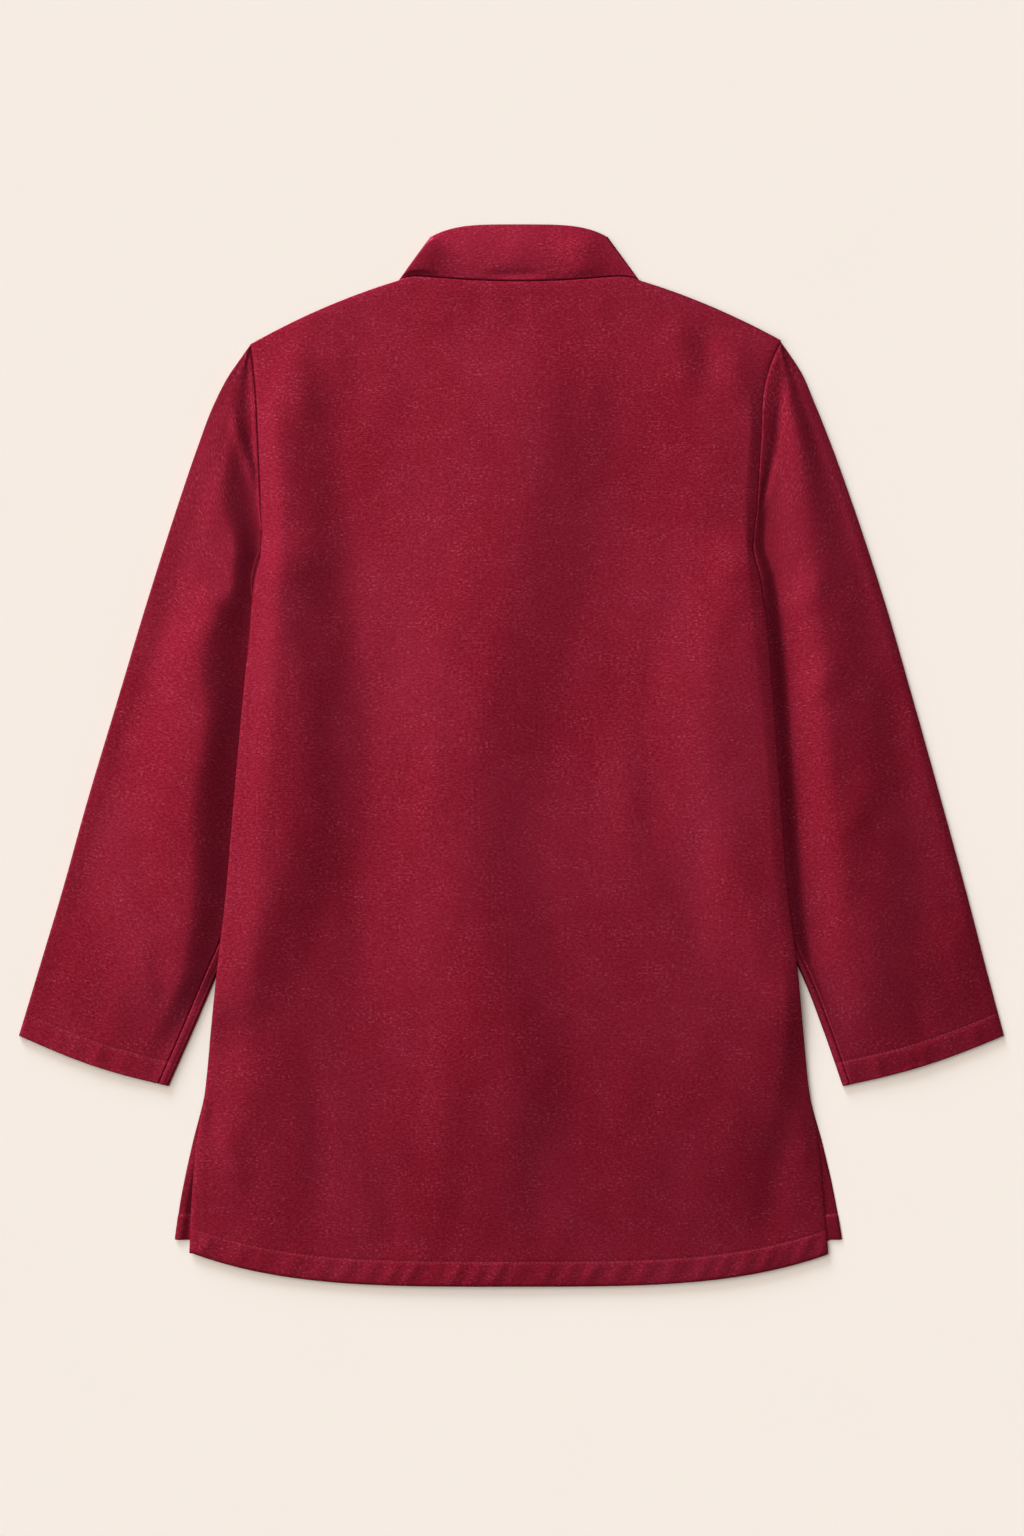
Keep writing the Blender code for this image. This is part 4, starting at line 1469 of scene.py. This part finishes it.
    def cuff_details(self, x: Array, y: Array) -> Array:
        """The turned cuff: a step at its stitch line, small uneven tucks, and the drawn-in line.

        Args:
            x: Places across.
            y: Places up.

        Returns:
            Their height at each place.
        """
        depth = self.cuff_distance(x, y)
        along = np.abs(np.abs(x) - CUFF_OUT) / 0.95 - self.tuck_lean * depth
        seed = SEED + 20 + int(self.side.value)
        height = tuck_row(along, seed, self.tucks, (11.0, 24.0), 0.2, self.tuck_width)
        band = np.exp(-(((depth - CUFF_TURN * 0.5) / 8.5) ** 2))
        turned = self.cuff_raise * ease((CUFF_TURN + 0.9 - depth) / 1.8)
        drawn = self.drawn_in * np.exp(-(((depth - CUFF_TURN) / 1.5) ** 2))
        return turned + self.tuck_height * height * band - drawn

    def top_z(self, x: Array, y: Array) -> Array:
        """Height of the upper ply's upper face: the relief, the cuff, and a dip along the armhole.

        Args:
            x: Places across.
            y: Places up.

        Returns:
            The height at each place.
        """
        from_seam = (x - CUT.body_edge(self.side, y)) * self.side.value
        dip = np.where(y > UNDERARM - 4.0, 0.16 * (1.0 - ease((from_seam - 0.2) / 1.1)), 0.0)
        edge = ease(np.abs(x - CUT.sleeve_outer(self.side, y)) / 3.0)
        return 2.0 * FOLD_RADIUS + self.relief(x, y) + self.cuff_details(x, y) * edge - dip

    def wall_lines(self, width: Array) -> list[SleeveLine]:
        """The wall's lines in order, from the seam round both edges to the seam again.

        Args:
            width: The sleeve's width at each row.

        Returns:
            The lines: upper ply, outer fold, lower ply, inner fold, and the upper ply's last strip.
        """
        rows, typical = len(width), self.typical_width
        upper = spaced(typical, self.fine, self.coarse * 0.8, 9.0, 16.0) / typical
        lower = spaced(typical, 1.5, 5.0, 6.0, 6.0) / typical
        angles = np.linspace(np.pi / 2, -np.pi / 2, self.arc_steps + 1)[1:-1]
        seam = 1.0 - self.seam_inset / width
        lines = [SleeveLine(seam + self.seam_lap / width, 0.0, 1.0)]
        lines += [SleeveLine(seam * share, 0.0, 1.0) for share in upper[::-1]]
        lines += [SleeveLine(np.zeros(rows), np.cos(angle), np.sin(angle)) for angle in angles]
        lines += [SleeveLine(np.full(rows, share), 0.0, -1.0) for share in lower]
        lines += [SleeveLine(np.ones(rows), np.cos(angle), -np.sin(angle)) for angle in angles]
        lines += [SleeveLine(1.0 - share * (1.0 - seam), 0.0, 1.0) for share in np.linspace(0.0, 1.0, 7)]
        return lines

    def bent(self, plan: Array, share: Array, ends: Array, down: Array) -> Array:
        """Bend one line to the armhole near its top and to the bowed cuff at its bottom.

        Beside the underarm the inner edge goes on a little under the body.

        Args:
            plan: The line's points on straight rows.
            share: Its shares of the width.
            ends: Ways from the first row's outer and inner points to the armhole's ends.
            down: The way down from the armhole.

        Returns:
            The moved points.
        """
        along = np.linspace(0.0, 1.0, 60)
        arm = self.armhole(along)
        bow = arm - (arm[0] + along[:, None] * (arm[-1] - arm[0]))
        bend = np.stack([np.interp(share, along, bow[:, k]) for k in (0, 1)], -1)
        shift = ends[0] + share[:, None] * (ends[1] - ends[0])
        fade = np.clip(1.0 - down / self.armhole_reach, 0.0, 1.0) ** 2
        plan = plan + fade[:, None] * (bend + shift)
        plan[:, 1] -= CUFF_BOW * ease(1.0 - (down[-1] - down) / CUFF_BOW_RUN) * np.sin(np.pi * share)
        away = (plan[:, 1] - self.underarm_at) / self.underarm_reach
        plan[:, 0] -= self.side.value * self.underarm_room * share**6 * np.exp(-(away**2))
        return plan

    def heights(self, plan: Array, point: Array, line: SleeveLine, step: SeamStep) -> tuple[Array, Array]:
        """Heights of the wall's outer and inner face down one line.

        Args:
            plan: The line's points before a fold carries them outwards.
            point: The line's points.
            line: Where it lies in the wall.
            step: Its rise beside the underarm seam.

        Returns:
            The outer and the inner heights.
        """
        if line.upper:
            shows = ease((20.0 - point[:, 1]) / 60.0)
            high = self.top_z(point[:, 0], point[:, 1])
            low = high - SHELL + step.low + step.low_shown * shows
            return high + step.high + step.high_shown * shows, low
        high = FOLD_RADIUS * (1.0 + line.sine) * np.ones(len(plan))
        if line.cosine == 0.0:
            return high, high + SHELL
        full = self.top_z(plan[:, 0], plan[:, 1]) - 2.0 * FOLD_RADIUS if line.share[0] < 0.5 else 0.0
        fuller = full * (1.0 + line.sine) / 2.0
        low = FOLD_RADIUS + (FOLD_RADIUS - SHELL) * line.sine * np.ones(len(plan)) + fuller
        return high + fuller, low

    def tuck(self, outer: Array, inner: Array, flat: Array, upper: Array) -> tuple[Array, Array, Array]:
        """Lengthen the upper ply at the armhole under the back panel, as its seam allowance.

        Args:
            outer: The wall's outer points, line by line.
            inner: Its inner points.
            flat: Their places on the flat cloth.
            upper: Which lines lie on the upper ply.

        Returns:
            The three grids with two more rows at their start.
        """
        steps = np.array([1.0, 0.5])
        heads = []
        for grid, drop in ((outer, 0.0), (inner, 0.25)):
            extra = []
            for step in steps:
                row = grid[:, 0].copy()
                row[:, 0] -= self.side.value * np.where(upper, SEAM_TUCK * step, 0.12 * step)
                row[:, 2] += np.where(upper, drop - 0.6, 0.0)
                extra.append(row)
            heads.append(np.concatenate([np.stack(extra, 1), grid], axis=1))
        flat_head = np.stack([flat[:, 0] + [0.0, SEAM_TUCK * step] for step in steps], 1)
        return heads[0], heads[1], np.concatenate([flat_head, flat], axis=1)

    def build(self, dresser: Dresser) -> bpy.types.Object:
        """Build and dress the sleeve.

        The wall's section runs from the seam over the upper ply, round the outer edge, back along the
        lower ply and round the inner edge to the seam again. Plan points lie at shares of the width
        between the two edges.

        Args:
            dresser: Gives the cloth its material.

        Returns:
            The cloth.
        """
        outer, inner, down = self.edges()
        width = np.linalg.norm(inner - outer, axis=1)
        toward = (inner - outer) / width[:, None]
        inset = FOLD_RADIUS / width
        ends = self.armhole(np.array([0.0, 1.0])) - np.stack([outer[0], inner[0]])
        lines = self.wall_lines(width)
        plain = len(lines) - len(SEAM_START) - len(SEAM_END)
        steps = SEAM_START + (SEAM_PLAIN,) * plain + SEAM_END
        outer_lines, inner_lines, flats = [], [], []
        for line, step in zip(lines, steps):
            kept = (inset + line.share * (1.0 - 2.0 * inset)) * width
            plan = self.bent(outer + kept[:, None] * toward, line.share, ends, down)
            away = (-toward if line.share[0] < 0.5 else toward) * FOLD_RADIUS * line.cosine
            point = plan + away
            high, low = self.heights(plan, point, line, step)
            outer_lines.append(np.column_stack([point, high]))
            inset_point = plan + away * (FOLD_RADIUS - SHELL) / FOLD_RADIUS
            inner_lines.append(np.column_stack([inset_point, low]))
            flats.append(np.column_stack([kept * (1.0 if line.sine > 0.0 else -1.0), -down]))
        upper = np.array([line.upper for line in lines])
        grids = self.tuck(np.array(outer_lines), np.array(inner_lines), np.array(flats), upper)
        name = f"sleeve_{self.side.column}"
        piece = shell_object(name + "_cloth", Shell(*grids))
        dresser.cloth(piece, "sleeve", "sleeve_silk", [name])
        return piece


@dataclass
class Collar:
    """The band collar pressed flat: back half on top, front halves below, open at centre front."""

    ply: float = 1.0
    arc_steps: int = 8
    crown: float = 1.4
    ripples: float = 0.09
    gap: float = 0.45
    seam_drop: float = 0.7
    inner_drop: float = 0.55
    drop_run: float = 1.5
    plain_tuck: float = 0.15

    def seam(self, x: Array, front: bool) -> Array:
        """The band's lower edge: a neckline, moved up from it by the seam's gap.

        Args:
            x: Places across on the neckline.
            front: Whether it is the front's.

        Returns:
            Points on the edge.
        """
        line = CUT.front_neck if front else CUT.back_neck
        slope = np.clip(line(x + 0.5) - line(x - 0.5), -1.8, 1.8)
        length = np.hypot(1.0, slope)
        return np.stack([x - self.gap * slope / length, line(x) + self.gap / length], -1)

    def upper_edge(self, x: Array, front: bool) -> Array:
        """The collar's upper edge over each seam point: flat with rounded corners, or dipping in front.

        Args:
            x: Places across on the neckline.
            front: Whether it is a front half.

        Returns:
            Points on the edge.
        """
        share = (x - NECK_MIDDLE) / NECK_HALF
        corner = COLLAR_TOP - COLLAR_CORNER_DROP
        low = NECK_HEIGHT - FRONT_NECK_DROP + COLLAR_STAND
        back = COLLAR_TOP - COLLAR_CORNER_DROP * np.abs(share) ** COLLAR_POWER
        dipping = low + (corner - low) * np.abs(share) ** FRONT_COLLAR_POWER
        return np.stack([NECK_MIDDLE + COLLAR_TOP_HALF * share, dipping if front else back], -1)

    def relief(self, x: Array, y: Array, share: Array) -> Array:
        """Rise of the back half: a low crown, small dents, and edges that round down.

        Args:
            x: Places across.
            y: Places up.
            share: How far up the band each place is, from seam (0) to upper edge (1).

        Returns:
            The rise at each place.
        """
        across = np.clip(np.abs(x - NECK_MIDDLE) / (NECK_HALF - 5.0), 0.0, 1.0)
        crown = self.crown * (1.0 - across**3) * np.sin(np.pi * np.clip(share, 0.0, 1.0)) ** 0.8
        dents = crease_height(x, y, COLLAR_CREASES) * ease(share * 6.0) * ease((1.0 - share) * 6.0)
        ripples = slack(x, y, SEED + 9, self.ripples) * ease(share * 5.0) * ease((1.0 - share) * 5.0)
        return crown + dents + ripples

    def flat_lines(self, places: Array, front: bool) -> list[CollarLine]:
        """Lines of a front half, which lies below, or of the back half, which lies on top."""
        sine = -1.0 if front else 1.0
        return [CollarLine(self.seam(x, front), self.upper_edge(x, front), 0.0, sine, 0.0) for x in places]

    def fold_lines(self, x: float, side: float) -> list[CollarLine]:
        """Lines round one fold, from the front half up to the back half.

        Args:
            x: Where the fold lies on the neckline.
            side: -1 for the left fold and 1 for the right one.

        Returns:
            The lines, with a flat one at both ends.
        """
        shift = np.array([side * FOLD_RADIUS, 0.0])
        low = self.seam(np.array(x), False) - shift
        high = self.upper_edge(np.array(x), False) - shift
        angles = np.linspace(-np.pi / 2, np.pi / 2, self.arc_steps + 1)[1:-1]
        turn = [CollarLine(low, high, float(np.cos(angle)), float(np.sin(angle)), side) for angle in angles]
        return [CollarLine(low, high, 0.0, -1.0, 0.0), *turn, CollarLine(low, high, 0.0, 1.0, 0.0)]

    def wall_lines(self) -> list[CollarLine]:
        """The wall's lines in order.

        Returns:
            Lines of the left front half, the left fold, the back half, the right fold and the right
            front half.
        """
        left_x, right_x = NECK_MIDDLE - NECK_HALF, NECK_MIDDLE + NECK_HALF
        half_open = COLLAR_OPEN / 2.0
        share = np.linspace(0.0, 1.0, 34)
        left_half = NECK_MIDDLE - half_open + share * (left_x - NECK_MIDDLE + half_open)
        right_half = right_x + share * (NECK_MIDDLE + half_open - right_x)
        over = left_x + spaced(2.0 * NECK_HALF, 1.2, 1.9, 8.0, 8.0)
        return [
            *self.flat_lines(left_half[:-1], True),
            *self.fold_lines(left_x, -1.0),
            *self.flat_lines(over[2:-2], False),
            *self.fold_lines(right_x, 1.0)[::-1],
            *self.flat_lines(right_half[1:], True),
        ]

    def headed(self, points: Array, z: Array, line: CollarLine, rise: Array, drop: float) -> Array:
        """Points up one line, sunk at the seam, with one more at the start under the back panel.

        Args:
            points: Plan points up the line.
            z: Their heights.
            line: Where it lies in the wall; only upper lines are sunk.
            rise: How far up the band the points are, 0 to 1.
            drop: How far the seam sinks.

        Returns:
            The points in space.
        """
        direction = (line.high - line.low) / np.linalg.norm(line.high - line.low)
        drop, reach = (drop, SEAM_TUCK) if line.upper else (0.0, self.plain_tuck)
        sunk = z - drop * (1.0 - ease(rise * COLLAR_STAND / self.drop_run))
        head = np.append(points[0] - direction * reach, z[0] - drop)
        return np.concatenate([head[None, :], np.column_stack([points, sunk])])

    def build(self, dresser: Dresser) -> bpy.types.Object:
        """Build and dress the collar.

        The band's section runs from centre front under the left half, round the left fold, over the
        back half, round the right fold and under the right half. Each line goes from the neck seam to
        the upper edge, and the back half is lengthened under the back panel as its seam allowance.

        Args:
            dresser: Gives the cloth its material.

        Returns:
            The cloth.
        """
        rise = spaced(1.0, 0.015, 0.03, 0.06, 0.06)
        outer_lines, inner_lines, middles = [], [], []
        for line in self.wall_lines():
            spine = line.low + rise[:, None] * (line.high - line.low)
            direction = (line.high - line.low) / np.linalg.norm(line.high - line.low)
            away = np.array([-direction[1], direction[0]]) * (-line.side) * FOLD_RADIUS * line.cosine
            full = np.zeros_like(rise)
            if line.upper or line.side:
                full = self.relief(spine[:, 0], spine[:, 1], rise)
            z = FOLD_RADIUS * (1.0 + line.sine) + full * (1.0 + line.sine) / 2.0
            inner = spine + away * (FOLD_RADIUS - self.ply) / FOLD_RADIUS
            inner_z = z - self.ply * line.sine
            outer_lines.append(self.headed(spine + away, z, line, rise, self.seam_drop))
            inner_lines.append(self.headed(inner, inner_z, line, rise, self.inner_drop))
            middles.append(spine[len(rise) // 2] + away)
        steps = np.linalg.norm(np.diff(middles, axis=0), axis=1)
        along = np.concatenate([[0.0], np.cumsum(steps)])
        heights = np.append(-0.07, rise) * COLLAR_STAND
        flat = np.stack(np.meshgrid(along, heights, indexing="ij"), -1)
        piece = shell_object("collar_cloth", Shell(np.array(outer_lines), np.array(inner_lines), flat))
        dresser.cloth(piece, "collar", "collar_silk", ["collar"])
        return piece


@dataclass
class StitchRow:
    """A row of straight machine stitches lying on a surface."""

    name: str
    length: float = 2.2
    pitch: float = 3.4
    width: float = 0.34
    height: float = 0.11

    def stitches(self, path: Array, surface: Surface) -> tuple[Array, Array]:
        """Points and faces of all the stitches along a path.

        Each stitch is a short spindle: rings of six points whose radius is the sine of the way along,
        flattened, tapering to both ends, laid on the surface.

        Args:
            path: Plan points of the row in millimetres.
            surface: A function from x and y to the cloth's height.

        Returns:
            Points and four-sided faces.
        """
        steps = np.linalg.norm(np.diff(path, axis=0), axis=1)
        run = np.concatenate([[0.0], np.cumsum(steps)])
        count = int(run[-1] / self.pitch)
        starts = (np.arange(count) + 0.2) * self.pitch
        rings = corners = 6
        along = np.linspace(0.0, 1.0, rings)
        spots = starts[:, None] + along[None, :] * self.length
        x = np.interp(spots, run, path[:, 0])
        y = np.interp(spots, run, path[:, 1])
        z = surface(x, y)
        heading = np.stack([x[:, -1] - x[:, 0], y[:, -1] - y[:, 0]], -1)
        heading /= np.linalg.norm(heading, axis=1, keepdims=True)
        normal = np.stack([-heading[:, 1], heading[:, 0]], -1)
        size = (0.25 + 0.75 * np.sin(np.pi * along) ** 0.6)[None, :, None]
        angle = np.arange(corners) * np.pi / (corners / 2.0)
        side = np.cos(angle)[None, None, :] * size * self.width / 2.0
        up = np.sin(angle)[None, None, :] * size * self.height
        points = np.stack([
            x[:, :, None] + normal[:, 0, None, None] * side,
            y[:, :, None] + normal[:, 1, None, None] * side,
            z[:, :, None] + up + 0.02,
        ], -1).reshape(-1, 3)
        first = np.arange(count) * rings * corners
        ring = np.arange(rings - 1) * corners
        near = first[:, None, None, None] + ring[None, :, None, None]
        corner = np.arange(corners)[None, None, :, None]
        after = (corner + 1) % corners
        loops = [near + corner, near + corners + corner, near + corners + after, near + after]
        quads = np.concatenate(loops, -1).reshape(-1, 4)
        end = (rings - 1) * corners
        caps = []
        for start, order in ((0, (0, 1, 2, 3)), (0, (0, 3, 4, 5)), (end, (3, 2, 1, 0)), (end, (5, 4, 3, 0))):
            caps.append((first + start)[:, None] + np.array(order)[None, :])
        return points, np.concatenate([quads, *caps])

    def build(
        self, dresser: Dresser, paths: Sequence[tuple[Array, Surface]], slot: str
    ) -> bpy.types.Object:
        """Build and dress one object of all the rows.

        Args:
            dresser: Gives the thread its material.
            paths: Pairs of a plan path and the surface that it lies on.
            slot: Not used.

        Returns:
            The object.
        """
        points, faces, start = [], [], 0
        for path, surface in paths:
            some_points, some_faces = self.stitches(path, surface)
            points.append(some_points)
            faces.append(some_faces + start)
            start += len(some_points)
        piece = mesh_object(self.name, np.concatenate(points), np.concatenate(faces))
        dresser.sewing(piece)
        return piece


def hem_path(inset: float) -> Array:
    """The back hem's stitch line, a constant height above the edge."""
    x = np.linspace(-251.0, 247.0, 400)
    return np.stack([x, CUT.hem(x) + inset], -1)


def flap_paths() -> list[Array]:
    """The front hem's stitch line where it shows on the slit flaps.

    Returns:
        One path of plan points for each flap.
    """
    paths = []
    for side in Side:
        y = HEM_SIDE + FRONT_SHORTER + HEM_TURN
        edge = CUT.body_edge(side, y) + side.value * smooth_read(FLAPS, "out", y)
        x = np.linspace(float(edge) - side.value * 1.5, float(edge) - side.value * 14.0, 12)
        paths.append(np.stack([x, CUT.hem(x) + FRONT_SHORTER + HEM_TURN], -1))
    return paths


def flap_surface(x: Array, y: Array) -> Array:
    """Height that the flaps' stitches lie at, the same everywhere."""
    return np.full_like(x, PLY + 0.2)


def cuff_path(sleeve: Sleeve) -> Array:
    """The cuff's stitch line on the upper ply.

    Args:
        sleeve: The sleeve that it lies on.

    Returns:
        Plan points from the outer to the inner edge.
    """
    outer, inner, down = sleeve.edges()
    row = int(np.argmin(np.abs(down - (down[-1] - CUFF_TURN))))
    share = np.linspace(0.02, 0.98, 80)
    line = outer[row] + share[:, None] * (inner[row] - outer[row])
    line[:, 1] -= CUFF_BOW * ease(1.0 - CUFF_TURN / CUFF_BOW_RUN) * np.sin(np.pi * share)
    return line


@dataclass
class Studio:
    """The camera above the garment, a wide sun as its sky, a low key sun, and a dim pale world."""

    suns: Sequence[Sun] = SUNS
    world_colour: tuple[float, float, float, float] = (1.0, 0.975, 0.95, 1.0)
    world_strength: float = 0.15

    def camera(self) -> None:
        """A long lens looking straight down, framed on the photograph's area."""
        data = bpy.data.cameras.new("camera")
        data.sensor_fit = "VERTICAL"
        data.sensor_height = SENSOR
        data.lens = SENSOR * CAMERA_HEIGHT / (FRAME_SIZE[1] * PIXEL)
        data.clip_start = 0.05
        data.clip_end = 20.0
        camera = bpy.data.objects.new("camera", data)
        camera.location = (FRAME_CENTRE[0] * MM, FRAME_CENTRE[1] * MM, CAMERA_HEIGHT * MM)
        bpy.context.scene.collection.objects.link(camera)
        bpy.context.scene.camera = camera

    def light(self, sun: Sun) -> None:
        """Add a distant light that shines from its place towards the garment's middle.

        Args:
            sun: What the light is like.
        """
        data = bpy.data.lights.new(sun.name, "SUN")
        data.angle = np.radians(sun.softness)
        data.energy = sun.strength
        data.color = sun.colour
        light = bpy.data.objects.new(sun.name, data)
        light.location = sun.place
        light.rotation_euler = (-Vector(sun.place)).to_track_quat("-Z", "Y").to_euler()
        bpy.context.scene.collection.objects.link(light)

    def build(self) -> None:
        """Set the camera, the lights, the world and the plain view transform."""
        self.camera()
        for sun in self.suns:
            self.light(sun)
        world = bpy.data.worlds.new("studio")
        world.use_nodes = True
        background = world.node_tree.nodes["Background"]
        background.inputs["Color"].default_value = self.world_colour
        background.inputs["Strength"].default_value = self.world_strength
        bpy.context.scene.world = world
        bpy.context.scene.view_settings.view_transform = "Standard"
        bpy.context.scene.view_settings.look = "None"


def main() -> None:
    """Build every piece in order."""
    logging.basicConfig(level=logging.INFO, format="%(name)s %(message)s")
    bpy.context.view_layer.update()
    weave = slub_weave_group()
    finishes = {
        "body": Silk("maroon silk body"),
        # The front's darker silk: the duller wrong side of the cloth, and painted shade where its flaps lie
        # beside the back's edge.
        "front": Silk("maroon silk front", (0.160, 0.0032, 0.0115), (0.250, 0.0150, 0.0370)),
        "sleeve": Silk("maroon silk sleeve"),
        # The collar's lighter copy of the same silk is painted light: the band is brighter than the body.
        "collar": Silk("maroon silk collar", (0.202, 0.0045, 0.0160), (0.312, 0.0205, 0.0520)),
        "placket": Silk("maroon silk placket"),
    }
    silk = {key: finish.build(weave) for key, finish in finishes.items()}
    dresser = Dresser(silk, Thread().build())
    Floor().build()
    FrontPanel().build(dresser)
    OpeningStrip("placket_over", -15.0, 15.0, 134.0, 0.0).build(dresser)
    OpeningStrip("placket_under", -12.0, 24.0, 128.0, 1.85).build(dresser)
    left = Sleeve(Side.LEFT, LEFT_SLEEVE_SECTIONS, LEFT_SLEEVE_CREASES, 7.0, -1.2)
    right = Sleeve(
        Side.RIGHT, RIGHT_SLEEVE_SECTIONS, RIGHT_SLEEVE_CREASES, 4.5, 1.4,
        tucked=0.0, shelf=8.0, rim=-0.3, lip=0.3,
    )
    left.build(dresser)
    right.build(dresser)
    Collar().build(dresser)
    back = BackPanel()
    back.build(dresser)
    StitchRow("hem_stitches").build(dresser, [(hem_path(HEM_TURN - 0.4), back.top_z)], "body_silk")
    flap_rows = [(path, flap_surface) for path in flap_paths()]
    StitchRow("flap_stitches").build(dresser, flap_rows, "body_silk")
    cuff_rows = [(cuff_path(sleeve), sleeve.top_z) for sleeve in (left, right)]
    StitchRow("cuff_stitches").build(dresser, cuff_rows, "sleeve_silk")
    Studio().build()


if __name__ == "__main__":
    main()
